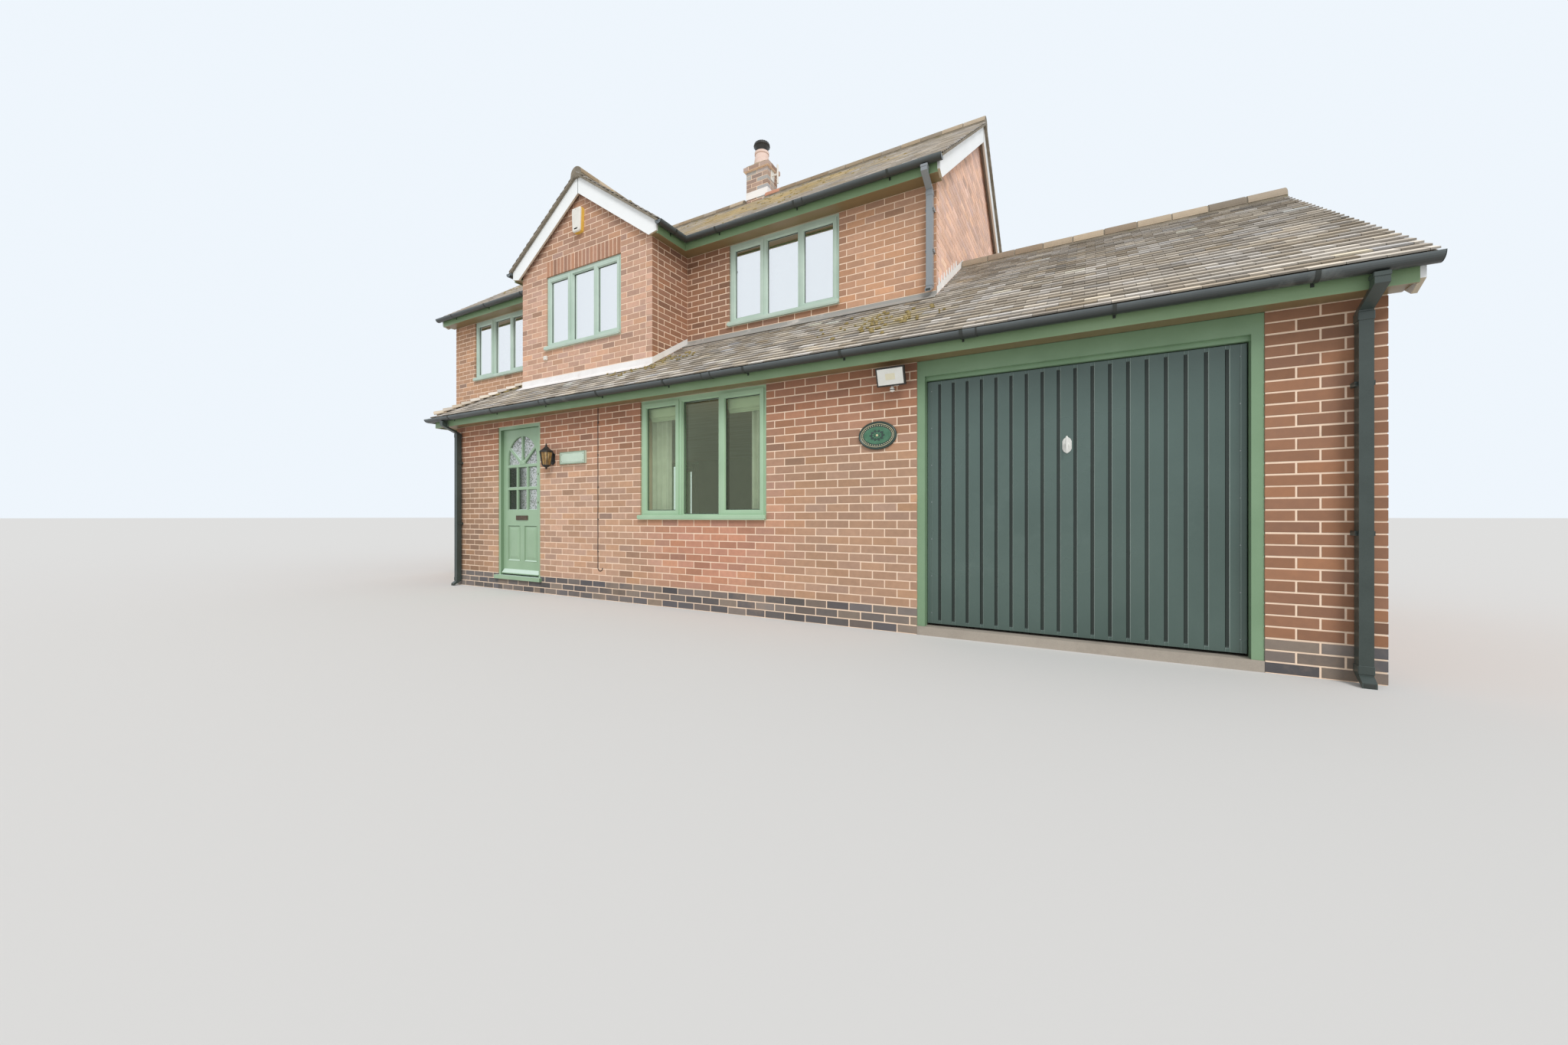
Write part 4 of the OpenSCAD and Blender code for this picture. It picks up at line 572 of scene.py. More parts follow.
STACK_BACK = [
    (0, STACK_X0, 1), (0, STACK_X1, -1), (1, STACK_Y0, 1), (1, STACK_Y1, -1), (2, STACK_TOP, -1),
    (0, STACK_X0 - OVERSAIL, 1), (0, STACK_X1 + OVERSAIL, -1),
    (1, STACK_Y0 - OVERSAIL, 1), (1, STACK_Y1 + OVERSAIL, -1),
]


def set_out(mesh):
    """The points of a CAD mesh in set-out millimetres."""
    return [[v.co[0] * 1000 + CENTRE_X, v.co[1] * 1000 + CENTRE_Y, v.co[2] * 1000] for v in mesh.vertices]


def wall_body(name, nodes, inner=PLASTER, lines=SET_BACK):
    """Solid walls of the CAD part, their outer faces moved in to the mortar between the bricks."""
    pile = Pile(MORTAR, inner)
    for source in nodes:
        mesh = NODES[source].data
        points = set_out(mesh)
        moved = [set() for _ in points]
        for axis, value, way in lines:
            for p, seen in zip(points, moved):
                if axis not in seen and abs(p[axis] - value) < 0.2:
                    p[axis] += way * MORTAR_BACK
                    seen.add(axis)
        first = len(pile.mats)
        pile.add([metres(*p) for p in points], [poly.vertices for poly in mesh.polygons])
        for i, poly in enumerate(mesh.polygons, first):
            at = poly.vertices
            outer = any(all(a in moved[v] for v in at) and abs(poly.normal[a]) > 0.9 for a in (0, 1))
            pile.mats[i] = 0 if outer else 1
    return pile.make(name, slot="brick", replaced=nodes)


wall_body("walls_of_the_low_front", [
    "front_wall_left_pier", "front_wall_over_door", "front_wall_middle", "front_block_side_wall",
    "garage_front_pier", "garage_lintel",
])
wall_body("walls_of_the_main_block", [
    "main_left_gable_wall", "main_right_gable_wall", "main_rear_wall", "main_front_wall_left",
    "main_front_wall_right",
])
wall_body("walls_of_the_bay", ["bay_front_wall", "bay_side_walls"])
wall_body("walls_of_the_garage", ["garage_party_wall", "garage_side_wall", "garage_rear_wall"], BLOCKS)
wall_body("core_of_the_chimney", ["chimney_stack"], MORTAR, STACK_BACK)

# Brick colours, 0 to 255, by where the wall stands and how the weather has worked on it, and in places painted
# light and shade

LEFT_PALE, MIDDLE_PALE = (198, 160, 135), (182, 146, 120)
TOP_RED, WINDOW_PINK = (168, 120, 94), (196, 142, 117)
# Right of the bay the wall takes painted shadow of the bay, and past the right window painted light
FAR_LEFT, SHADED_RED, LIT_RED = (158, 125, 100), (152, 112, 88), (196, 152, 122)
PIER_RED, UPPER_RED, UPPER_LOW = (154, 112, 86), (178, 138, 109), (188, 148, 119)
# The bay's returns are partly a deeper orange, partly painted shade
BAY_PALE, BAY_TOP, BAY_SIDE_AND_SHADE = (204, 164, 141), (184, 143, 118), (160, 117, 92)
# The right gable is partly a pinker tone, partly painted light
GABLE_PINK_AND_LIGHT, COMMON_RED, SOLDIER_RED = (230, 192, 172), (182, 138, 111), (178, 134, 110)
STACK_COLOURS = [(186, 164, 152), (172, 146, 131), (200, 187, 178), (160, 130, 112), (180, 176, 170)]
BLUE_BRICKS = [(112, 106, 104), (98, 94, 94), (128, 116, 108), (92, 88, 88), (134, 122, 112)]
PLINTH_COURSES = 3
# The least width between openings, length of a cut brick, and area of a face that is laid
LEAST_SPAN, LEAST_CUT, LEAST_FACE, LEAST_TILE = 20, 48, 900, 300
BY_OPENING = 200


def low_front_colour(u, z):
    if u > GARAGE_X1:
        return PIER_RED
    colour = blend(MIDDLE_PALE, LEFT_PALE, 1 - abs(u - 2500) / 1500)
    colour = blend(colour, FAR_LEFT, (900 - u) / 400)
    colour = blend(colour, WINDOW_PINK, 1.5 - hypot(u - GROUND_WIN - 1000, z - GROUND_Z + 150) / 800)
    return blend(colour, TOP_RED, (z - 1450) / 600)


def upper_front_colour(u, z):
    colour = blend(UPPER_LOW, UPPER_RED, (z - 3400) / 700)
    # Right of the bay: painted shadow of the bay, then painted light past the right window
    if u > BAY_X1:
        colour = blend(blend(colour, SHADED_RED, 0.85), LIT_RED, (u - RIGHT_WIN - UPPER_W + 100) / 300)
    return colour


def bay_front_colour(u, z):
    return blend(BAY_PALE, BAY_TOP, (z - 4200) / 600)


def plain(colour):
    return lambda u, z: colour


def tint_of(rng, colour, u, z, spread=0.04):
    """One brick's or tile's own colour, a little off the colour of its place."""
    light = 1 + spread * rng.gauss(0, 1) + 0.05 * noise.noise(Vector((u / 700, z / 500, 3.1)))
    if rng.random() < 0.04:
        light *= 0.88
    warm = 0.02 * rng.gauss(0, 1)
    shifted = (colour[0] * light * (1 + warm / 2), colour[1] * light, colour[2] * light * (1 - warm))
    return tone(*(min(250, max(10, c)) for c in shifted))[:3]


def brick(pile, at, flip, poly, deep, rng, tint, look, ends=()):
    """One brick in the wall's face: poly is its outline, with a worn arris and real depth.

    ends gives other tints to sides that show on the next wall, as (number of the side, tint).
    """
    n = len(poly)
    proud = rng.random() * 1.2
    mid_u, mid_z = sum(p[0] for p in poly) / n, sum(p[1] for p in poly) / n
    rings = []
    for inset, depth in ((ARRIS, proud), (0.0, proud + ARRIS), (0.0, deep)):
        for u, z in poly:
            du, dz = mid_u - u, mid_z - z
            step_u, step_z = min(inset, abs(du)), min(inset, abs(dz))
            rings.append(at(u + copysign(step_u, du), depth, z + copysign(step_z, dz)))
    faces = [tuple(range(n))]
    for r in range(2):
        for i in range(n):
            j = (i + 1) % n
            faces.append((r * n + j, r * n + i, (r + 1) * n + i, (r + 1) * n + j))
    if flip:
        faces = [f[::-1] for f in faces]
    pile.add(rings, faces, look, tint)
    for side, other in ends:
        for r in range(2):
            pile.tints[r * n + side - 2 * n] = other


def lay_bricks(pile, at, flip, seed, region, first, colour, holes=(), own=(None, None), hidden=None, least=14,
               around=(None, None)):
    """Stretcher bond over a convex region. own says at which courses this face holds each outer corner.

    around gives, for each outer corner, the colour at a height of the wall that stands round it.
    """
    rng = Random(seed)
    low, high = min(p[1] for p in region), max(p[1] for p in region)
    left, right = min(p[0] for p in region), max(p[0] for p in region)
    for row in range(int(low // COURSE), int(ceil(high / COURSE))):
        z0, z1 = row * COURSE + JOINT / 2, (row + 1) * COURSE - JOINT / 2
        a, b = left, right
        if own[0] is not None and row % 2 != own[0]:
            a += BRICK_DEEP + JOINT
        if own[1] is not None and row % 2 != own[1]:
            b -= BRICK_DEEP + JOINT
        spans = [(a, b)]
        for h0, h1, hz0, hz1 in holes:
            if hz0 < z1 and hz1 > z0:
                halves = [half for s0, s1 in spans for half in ((s0, min(s1, h0)), (max(s0, h1), s1))]
                spans = [s for s in halves if s[1] - s[0] > LEAST_SPAN]
        over_hole = [h for h in holes if abs(h[3] - row * COURSE) < 1]
        phase = first - (STRETCHER / 2 if row % 2 else 0) - JOINT / 2
        for s0, s1 in spans:
            steps = range(int((s0 - phase) // STRETCHER), int((s1 - phase) // STRETCHER) + 2)
            joints = [phase + i * STRETCHER for i in steps]
            joints = [joint for joint in joints if s0 + LEAST_CUT < joint < s1 - LEAST_CUT]
            edges = [s0] + [j + JOINT / 2 for j in joints]
            ends = [j - JOINT / 2 for j in joints] + [s1]
            for u0, u1 in zip(edges, ends):
                jog, mid = rng.gauss(0, 0.7), (u0 + u1) / 2
                poly = within([(u, z + jog) for u, z in rect(u0, u1, z0, z1)], region)
                plinth = row < PLINTH_COURSES
                base = BLUE_BRICKS[int(rng.random() * len(BLUE_BRICKS))] if plinth else colour(mid, z0)
                tint = tint_of(rng, base, mid, z0)
                if len(poly) < 3 or area(poly) < LEAST_FACE or (hidden and hidden(mid, z0)):
                    continue
                over = any(h[0] - BY_OPENING < mid < h[1] + BY_OPENING for h in over_hole)
                at_edge = u0 == s0 or u1 == s1 or over
                ends = []
                for side, corner, met in ((3, 0, u0 == left), (1, 1, u1 == right)):
                    if around[corner] and met and not plinth and row % 2 == own[corner] and len(poly) == 4:
                        ends.append((side, tint_of(rng, around[corner](z0), mid, z0)))
                deep = BRICK_DEEP if at_edge else least
                brick(pile, at, flip, poly, deep, rng, tint, 1 if plinth else 0, ends)


def soldiers(pile, at, flip, seed, u0, u1, z0, high):
    rng = Random(seed)
    count = round((u1 - u0) / COURSE)
    pitch = (u1 - u0) / count
    for i in range(count):
        poly = rect(u0 + i * pitch + JOINT / 2, u0 + (i + 1) * pitch - JOINT / 2, z0 + 1, z0 + high)
        brick(pile, at, flip, poly, BRICK_DEEP, rng, tint_of(rng, SOLDIER_RED, poly[0][0], z0), 0)


def garage_roof_line(y):
    return lean_z(min(y, GARAGE_D - y))


def gable(left, right, foot, eaves, ridge):
    """A wall face under two slopes, as far up as the underside of the tiles."""
    low, high = eaves - UNDER_TILES, ridge - UNDER_TILES
    return [(left, foot), (right, foot), (right, low), ((left + right) / 2, high), (left, low)]


UNDER_TILES, LOW_TOP, UP_TOP, BAY_FOOT, RIGHT_FOOT = 75, 2400, 4575, 2925, 3225
red = plain(COMMON_RED)
low_face, upper_face, bay_face = facing_front(0), facing_front(MAIN_Y0), facing_front(BAY_Y)
low_openings = [(DOOR_X0, DOOR_X1, 0, LOW_TOP), (GROUND_WIN, GROUND_WIN + GROUND_W, GROUND_Z, LOW_TOP),
                (GARAGE_X0, GARAGE_X1, 0, LOW_TOP)]
low_bricks = Pile(BRICK, PLINTH)
lay_bricks(low_bricks, *low_face, 11, rect(0, FRONT_W, 0, LOW_TOP), 0, low_front_colour, low_openings, (0, 0))
for seed, z0, z1 in ((12, 0, DOOR_Z0), (13, DOOR_Z1, LOW_TOP)):
    lay_bricks(low_bricks, *low_face, seed, rect(DOOR_X0, DOOR_X1, z0, z1), 0, low_front_colour)
lay_bricks(low_bricks, *facing_left(0), 14, rect(0, MAIN_Y0, 0, LOW_TOP), 0, red, own=(1, None),
           around=(lambda z: low_front_colour(0, z), None))
low_bricks.make("bricks_of_the_low_front", slot="brick")

garage_bricks = Pile(BRICK, PLINTH)
garage_gable = gable(0, GARAGE_D, 0, lean_z(0), GARAGE_RIDGE_Z)
lay_bricks(garage_bricks, *facing_right(FRONT_W), 15, garage_gable, 0, red, own=(1, 1),
           around=(lambda z: low_front_colour(FRONT_W, z), None))
lay_bricks(garage_bricks, *facing_back(GARAGE_D), 16, rect(MAIN_X1, FRONT_W, 0, LOW_TOP), MAIN_X1, red,
           own=(None, 0))
garage_bricks.make("bricks_of_the_garage", slot="brick")

front_bricks = Pile(BRICK, PLINTH)
lay_bricks(front_bricks, *upper_face, 17, rect(MAIN_X0, 0, 0, LOW_TOP), MAIN_X0, upper_front_colour,
           own=(0, None))
lay_bricks(front_bricks, *upper_face, 18, rect(MAIN_X0, BAY_X0, LOW_TOP, UP_TOP), MAIN_X0, upper_front_colour,
           [(LEFT_WIN, LEFT_WIN + UPPER_W, UPPER_Z, UP_TOP)], (0, None),
           hidden=lambda u, z: u > 300 and z < lean_z(min(u, MAIN_Y0)) - 160)
lay_bricks(front_bricks, *upper_face, 19, rect(BAY_X1, MAIN_X1, RIGHT_FOOT, UP_TOP), MAIN_X1,
           upper_front_colour, [(RIGHT_WIN, RIGHT_WIN + UPPER_W, UPPER_Z, UP_TOP)], (None, 0),
           around=(None, lambda z: GABLE_PINK_AND_LIGHT))
front_bricks.make("bricks_of_the_upper_front", slot="brick")

bay_bricks = Pile(BRICK)
bay_gable = gable(BAY_X0, BAY_X1, BAY_FOOT, bay_z(0), BAY_RIDGE_Z)
bay_opening = (BAY_WIN, BAY_WIN + BAY_WIN_W, BAY_WIN_Z, BAY_WIN_Z + UPPER_H + 3 * COURSE)
lay_bricks(bay_bricks, *bay_face, 20, bay_gable, BAY_X0, bay_front_colour, [bay_opening], (0, 0),
           around=(lambda z: BAY_SIDE_AND_SHADE, lambda z: BAY_SIDE_AND_SHADE))
soldiers(bay_bricks, *bay_face, 21, *bay_opening[:2], BAY_WIN_Z + UPPER_H, 3 * COURSE - JOINT / 2)
for seed, side_face in ((22, facing_left(BAY_X0)), (23, facing_right(BAY_X1))):
    lay_bricks(bay_bricks, *side_face, seed, rect(BAY_Y, MAIN_Y0, BAY_FOOT, UP_TOP), BAY_Y, plain(BAY_SIDE_AND_SHADE),
               own=(1, None), around=(lambda z: bay_front_colour(0, z), None))
bay_bricks.make("bricks_of_the_bay", slot="brick")

main_gable = gable(MAIN_Y0, MAIN_Y1, 0, main_z(MAIN_Y0), RIDGE_Z)
left_bricks = Pile(BRICK, PLINTH)
lay_bricks(left_bricks, *facing_left(MAIN_X0), 24, main_gable, MAIN_Y0, red, own=(1, 1),
           around=(lambda z: upper_front_colour(MAIN_X0, z), None))
left_bricks.make("bricks_of_the_left_gable", slot="brick")
right_bricks = Pile(BRICK, PLINTH)
lay_bricks(right_bricks, *facing_right(MAIN_X1), 25, main_gable, MAIN_Y0, plain(GABLE_PINK_AND_LIGHT), own=(1, 1),
           around=(lambda z: upper_front_colour(MAIN_X1, z), lambda z: COMMON_RED),
           hidden=lambda u, z: u < GARAGE_D - 60 and z < garage_roof_line(u) - 150)
right_bricks.make("bricks_of_the_right_gable", slot="brick")
rear_openings = [(x, x + UPPER_W, z, top) for x in (LEFT_WIN, RIGHT_WIN)
                 for z, top in ((GROUND_Z, LOW_SOFFIT), (UPPER_Z, UP_TOP))]
rear_bricks = Pile(BRICK, PLINTH)
lay_bricks(rear_bricks, *facing_back(MAIN_Y1), 26, rect(MAIN_X0, MAIN_X1, 0, UP_TOP), MAIN_X0, red,
           rear_openings, (0, 0), around=(None, lambda z: GABLE_PINK_AND_LIGHT))
rear_bricks.make("bricks_of_the_rear", slot="brick")

# Chimney: courses that end level with its top, an oversailing course, and mortar round the pot

stack_shift = STACK_TOP % COURSE
stack_mix = Random(27)


def stack_colour(u, z):
    return STACK_COLOURS[int(stack_mix.random() * len(STACK_COLOURS))]


def shifted(facing):
    at, flip = facing
    return (lambda u, d, z: at(u, d, z + stack_shift)), flip


def stack_foot(y):
    return RIDGE_Z - (y - RIDGE_Y) * MAIN_TAN + 4 - stack_shift


stack_bricks = Pile(BRICK, BRICK)
head = STACK_TOP - stack_shift
shaft_top = head - COURSE
for seed, facing, low, high, corner, feet in (
    (41, facing_front(STACK_Y0), STACK_X0, STACK_X1, 0, (STACK_Y0, STACK_Y0)),
    (42, facing_back(STACK_Y1), STACK_X0, STACK_X1, 0, (STACK_Y1, STACK_Y1)),
    (43, facing_left(STACK_X0), STACK_Y0, STACK_Y1, 1, (STACK_Y0, STACK_Y1)),
    (44, facing_right(STACK_X1), STACK_Y0, STACK_Y1, 1, (STACK_Y0, STACK_Y1)),
):
    shaft = [(low, stack_foot(feet[0])), (high, stack_foot(feet[1])), (high, shaft_top), (low, shaft_top)]
    lay_bricks(stack_bricks, *shifted(facing), seed, shaft, low, stack_colour, own=(corner, corner))
for seed, facing, low, high, corner in (
    (45, facing_front(STACK_Y0 - OVERSAIL), STACK_X0 - OVERSAIL, STACK_X1 + OVERSAIL, 1),
    (46, facing_back(STACK_Y1 + OVERSAIL), STACK_X0 - OVERSAIL, STACK_X1 + OVERSAIL, 1),
    (47, facing_left(STACK_X0 - OVERSAIL), STACK_Y0 - OVERSAIL, STACK_Y1 + OVERSAIL, 0),
    (48, facing_right(STACK_X1 + OVERSAIL), STACK_Y0 - OVERSAIL, STACK_Y1 + OVERSAIL, 0),
):
    top = rect(low, high, shaft_top, head)
    lay_bricks(stack_bricks, *shifted(facing), seed, top, low, stack_colour, own=(corner, corner), least=60)
stack_bricks.make("bricks_of_the_chimney", slot="brick")

POT_X, POT_Y, POT_R = (STACK_X0 + STACK_X1) / 2, (STACK_Y0 + STACK_Y1) / 2, 155
mound = Pile(FLAUNCHING)
MOUND_IN = 12
half_x = (STACK_X1 - STACK_X0) / 2 + OVERSAIL - MOUND_IN
half_y = (STACK_Y1 - STACK_Y0) / 2 + OVERSAIL - MOUND_IN
rings = []
for share, rise in ((0.0, -2), (0.0, 10), (0.55, 34), (1.0, 52)):
    ring = []
    for c, s in circle(32):
        out = min(half_x / max(abs(c), 1e-6), half_y / max(abs(s), 1e-6))
        r = out + (POT_R + 4 - out) * share
        wobble = 5 * noise.noise(Vector((c * 3, s * 3, share * 4)))
        ring.append(metres(POT_X + (r + wobble) * c, POT_Y + (r + wobble) * s, STACK_TOP + rise + wobble))
    rings.append(ring)
mound.loft(rings)
mound.make("flaunching_round_the_pot", slot="brick", smooth=True)

# Roofs: an underlay in the shape of the CAD slab, its top let down, and plain tiles at a real gauge

GAUGE, TILE_W, TILE_T, TILE_GAP, LAP = 100, 165, 12, 2.5, 14
UNDERLAY_DROP = 30
# Shares that darken the tails and sides of each tile: painted shade
TAIL_SHADE, SIDE_SHADE = 0.4, 0.5
ROOF_PLANES = {
    "lean_to_roof": [lambda x, y: lean_z(y), lambda x, y: lean_z(x)],
    "garage_roof_rear": [lambda x, y: lean_z(GARAGE_D - y)],
    "main_roof_front": [lambda x, y: main_z(y)],
    "main_roof_rear": [lambda x, y: main_z(MAIN_Y0 + MAIN_Y1 - y)],
    "bay_roof_left": [lambda x, y: bay_z(x - BAY_X0)],
    "bay_roof_right": [lambda x, y: bay_z(BAY_X1 - x)],
}
underlay = Pile(TILE_MORTAR)
for name, planes in ROOF_PLANES.items():
    points = []
    for x, y, z in set_out(NODES[name].data):
        on_top = any(abs(z - plane(x, y)) < 1.0 for plane in planes)
        points.append(metres(x, y, z - UNDERLAY_DROP if on_top else z))
    underlay.add(points, [poly.vertices for poly in NODES[name].data.polygons])
underlay.make("roof_underlay", slot="roof_tile", replaced=list(ROOF_PLANES))

TILE_GREY, TILE_BROWN, MOSS_TINT = (237, 228, 215), (180, 167, 149), (204, 188, 144)
# The upper slope is seen along its tiles, against the sky: its colours are partly a painted sheen of the sky,
# and its tails take less painted shade
HIGH_GREY_AND_SHEEN, HIGH_BROWN_AND_SHEEN, HIGH_TAIL_SHADE, HIGH_MOSS_AND_SHEEN = (222, 214, 204), (186, 174, 157), 0.7, (222, 198, 148)
# Where moss has settled on each slope: the middle and reach along the eaves and up the slope
MOSSY = {
    "front": [(6350, 700, 700, 450), (3300, 700, 900, 300), (500, 900, 400, 400)],
    "main_front": [(3900, 1700, 2300, 1700), (-900, 1500, 900, 900)],
    "main_rear": [(1500, 1700, 2600, 1100)],
    "bay_left": [(800, 700, 500, 800)],
    "bay_right": [(800, 700, 500, 800)],
    "left": [(500, 700, 500, 500)],
    "garage_rear": [(8000, 1200, 1200, 900)],
}


def mossiness(kind, u, run):
    patch = max((1 - hypot((u - a) / c, (run - b) / d) for a, b, c, d in MOSSY[kind]), default=-1)
    return patch + 0.9 * noise.noise(Vector((u / 260, run / 200, 7.7)))


def lay_tiles(pile, kind, seed, regions, u_min, u_max, run_max):
    """Plain tiles on one slope. Regions are convex, in (u, run): run is the level distance from the eaves."""
    rng = Random(seed)
    slope_tan, at = SLOPES[kind]
    flat = 1 / hypot(1, slope_tan)
    high = kind == "main_front"
    for row in range(int(run_max / flat / GAUGE) + 1):
        offset = (TILE_W / 2) * (row % 2)
        s0 = row * GAUGE
        s1 = s0 + GAUGE + LAP
        for col in range(int((u_max - u_min) / TILE_W) + 2):
            u0 = u_min + col * TILE_W - offset
            slip, lift, shade = rng.gauss(0, 2.0), max(-1.0, rng.gauss(0, 1.2)), rng.random()
            if u0 + TILE_W < u_min or u0 > u_max:
                continue
            colour = blend(*((HIGH_GREY_AND_SHEEN, HIGH_BROWN_AND_SHEEN) if high else (TILE_GREY, TILE_BROWN)), shade)
            grown = mossiness(kind, u0, s0 * flat)
            colour = blend(colour, *((HIGH_MOSS_AND_SHEEN, grown) if high else (MOSS_TINT, grown - 0.25)))
            tint = tint_of(rng, colour, u0, s0, 0.05)
            foot = max(0.0, s0 + slip)
            outline = rect(u0 + TILE_GAP / 2, u0 + TILE_W - TILE_GAP / 2, foot * flat, s1 * flat)
            for region in regions:
                poly = within(outline, region)
                if len(poly) < 3 or abs(area(poly)) < LEAST_TILE:
                    continue
                n = len(poly)
                top, under = [], []
                for u, run in poly:
                    s = run / flat
                    drop = 1.5 + (s - foot) / (GAUGE + LAP) * 16 + lift * 0.6 + 1
                    top.append(at(u, run, -drop))
                    under.append(at(u, run, -drop - TILE_T))
                faces, tail = [], []
                for i in range(n):
                    j = (i + 1) % n
                    if poly[i][1] / flat > s1 - 1 and poly[j][1] / flat > s1 - 1:
                        continue
                    level = abs(poly[i][1] - poly[j][1]) < 1
                    (tail if level else faces).append((j, i, n + i, n + j))
                pile.add(top + under, [tuple(range(n))] + tail + faces, 0, tint)
                # The tails and sides of each tile take painted shade: their tint times a share
                dark = [(HIGH_TAIL_SHADE if high else TAIL_SHADE, len(tail)), (SIDE_SHADE, len(faces))]
                shades = [tuple(c * share for c in tint) for share, count in dark for _ in range(count)]
                if shades:
                    pile.tints[-len(shades):] = shades


MAIN_FOOT = MAIN_Y0 - REACH
# The tangent of each slope, and the place of a point on it: u along the eaves, run up the slope, and a
# height off the plane of the tiles
SLOPES = {
    "front": (LEAN_TAN, lambda u, run, h: metres(u, run - REACH, lean_z(run - REACH) + h)),
    "left": (LEAN_TAN, lambda u, run, h: metres(run - REACH, u, lean_z(run - REACH) + h)),
    "garage_rear": (LEAN_TAN, lambda u, run, h: metres(u, GARAGE_D + REACH - run, lean_z(run - REACH) + h)),
    "main_front": (MAIN_TAN, lambda u, run, h: metres(u, MAIN_FOOT + run, main_z(MAIN_FOOT + run) + h)),
    "main_rear": (MAIN_TAN, lambda u, run, h: metres(u, MAIN_Y1 + REACH - run, main_z(MAIN_FOOT + run) + h)),
    "bay_left": (BAY_TAN, lambda u, run, h: metres(BAY_X0 - BAY_REACH + run, u, bay_z(run - BAY_REACH) + h)),
    "bay_right": (BAY_TAN, lambda u, run, h: metres(BAY_X1 + BAY_REACH - run, u, bay_z(run - BAY_REACH) + h)),
}
# Slopes whose along and up directions make a left-handed pair
LEFT_HANDED = ("left", "garage_rear", "main_rear", "bay_left")
EDGE_X = FRONT_W + VERGE
HALF_RUN = RIDGE_Y - MAIN_Y0 + REACH
LEFT_EDGE, RIGHT_EDGE = MAIN_X0 - VERGE, MAIN_X1 + VERGE
GARAGE_RUN = GARAGE_RIDGE_Y + REACH
bay_meet = (BAY_RIDGE_Z - UP_EDGE) / MAIN_TAN
bay_left_u, bay_right_u = BAY_X0 - BAY_REACH, BAY_X1 + BAY_REACH
bay_half = BAY_MID - BAY_X0 + BAY_REACH
bay_front_y = BAY_Y - BAY_VERGE
meet_y = MAIN_FOOT + bay_meet
front_regions = [
    [(-REACH, 0), (BAY_X0, 0), (BAY_X0, BAY_X0 + REACH)],
    rect(BAY_X0, BAY_X1, 0, BAY_Y + REACH),
    rect(BAY_X1, MAIN_X1, 0, MAIN_Y0 + REACH),
    rect(MAIN_X1, EDGE_X, 0, GARAGE_RUN),
]
hip_region = [(-REACH, 0), (MAIN_Y0, 0), (MAIN_Y0, BAY_X0 + REACH), (BAY_X0, BAY_X0 + REACH)]
main_regions = [
    rect(LEFT_EDGE, bay_left_u, 0, HALF_RUN),
    [(bay_left_u, 0), (BAY_MID, bay_meet), (BAY_MID, HALF_RUN), (bay_left_u, HALF_RUN)],
    [(BAY_MID, bay_meet), (bay_right_u, 0), (bay_right_u, HALF_RUN), (BAY_MID, HALF_RUN)],
    rect(bay_right_u, RIGHT_EDGE, 0, HALF_RUN),
]
bay_slope = [(bay_front_y, 0), (MAIN_FOOT, 0), (meet_y, bay_half), (bay_front_y, bay_half)]
for name, slopes in (
    ("tiles_of_the_low_front", [("front", 31, front_regions, -REACH, EDGE_X, GARAGE_RUN)]),
    ("tiles_of_the_hip_and_garage_rear", [
        ("left", 32, [hip_region], -REACH, MAIN_Y0, BAY_X0 + REACH),
        ("garage_rear", 33, [rect(MAIN_X1, EDGE_X, 0, GARAGE_RUN)], MAIN_X1, EDGE_X, GARAGE_RUN),
    ]),
    ("tiles_of_the_main_front", [("main_front", 34, main_regions, LEFT_EDGE, RIGHT_EDGE, HALF_RUN)]),
    ("tiles_of_the_main_rear", [
        ("main_rear", 35, [rect(LEFT_EDGE, RIGHT_EDGE, 0, HALF_RUN)], LEFT_EDGE, RIGHT_EDGE, HALF_RUN),
    ]),
    ("tiles_of_the_bay_left", [("bay_left", 36, [bay_slope], bay_front_y, meet_y, bay_half)]),
    ("tiles_of_the_bay_right", [("bay_right", 37, [bay_slope], bay_front_y, meet_y, bay_half)]),
):
    tiles = (Mirrored if slopes[0][0] in LEFT_HANDED else Pile)(TILE)
    for slope in slopes:
        lay_tiles(tiles, *slope)
    tiles.make(name, slot="roof_tile")

# Moss clumps at the tails of the tiles

moss = Pile(MOSS)
CLEAR = 60


def clump(kind, u, run, size):
    begin, squash = moss_rng.random() * tau, 0.5 + 0.5 * moss_rng.random()
    rings = []
    for share, rise in ((1.0, -6), (0.8, size * 0.25), (0.35, size * 0.42)):
        ring = []
        for c, s in circle(6, begin):
            r = size * share * (0.8 + 0.4 * moss_rng.random())
            ring.append(SLOPES[kind][1](u + r * c, run + r * squash * s, rise))
        rings.append(ring)
    moss.loft(rings, flip=kind in LEFT_HANDED)


def settles(kind, u, run):
    """Whether moss can lie at a place: on the slope, clear of its edges, the bay and the chimney."""
    if kind == "front":
        top = (MAIN_Y0 + REACH if u < MAIN_X1 else GARAGE_RUN) - CLEAR
        under_bay = BAY_X0 - CLEAR < u < BAY_X1 + CLEAR and run >= BAY_Y + REACH - CLEAR
        return 100 < run < top and -50 < u < EDGE_X - CLEAR and not under_bay and run < u + REACH
    if kind == "main_front":
        in_bay_roof = run <= bay_meet and bay_left_u < u < bay_right_u
        in_slope = CLEAR < run < HALF_RUN - 2 * CLEAR and LEFT_EDGE + CLEAR < u < RIGHT_EDGE - CLEAR
        return in_slope and not in_bay_roof and not STACK_X0 - 90 < u < STACK_X1 + 90
    if kind == "main_rear":
        return CLEAR < run < HALF_RUN - 8 * CLEAR and LEFT_EDGE + CLEAR < u < RIGHT_EDGE - CLEAR
    if kind == "garage_rear":
        return CLEAR < run < GARAGE_RUN - 2 * CLEAR and MAIN_X1 + CLEAR < u < EDGE_X - CLEAR
    return CLEAR < run < bay_half - 2 * CLEAR and bay_front_y + 40 < u < MAIN_FOOT


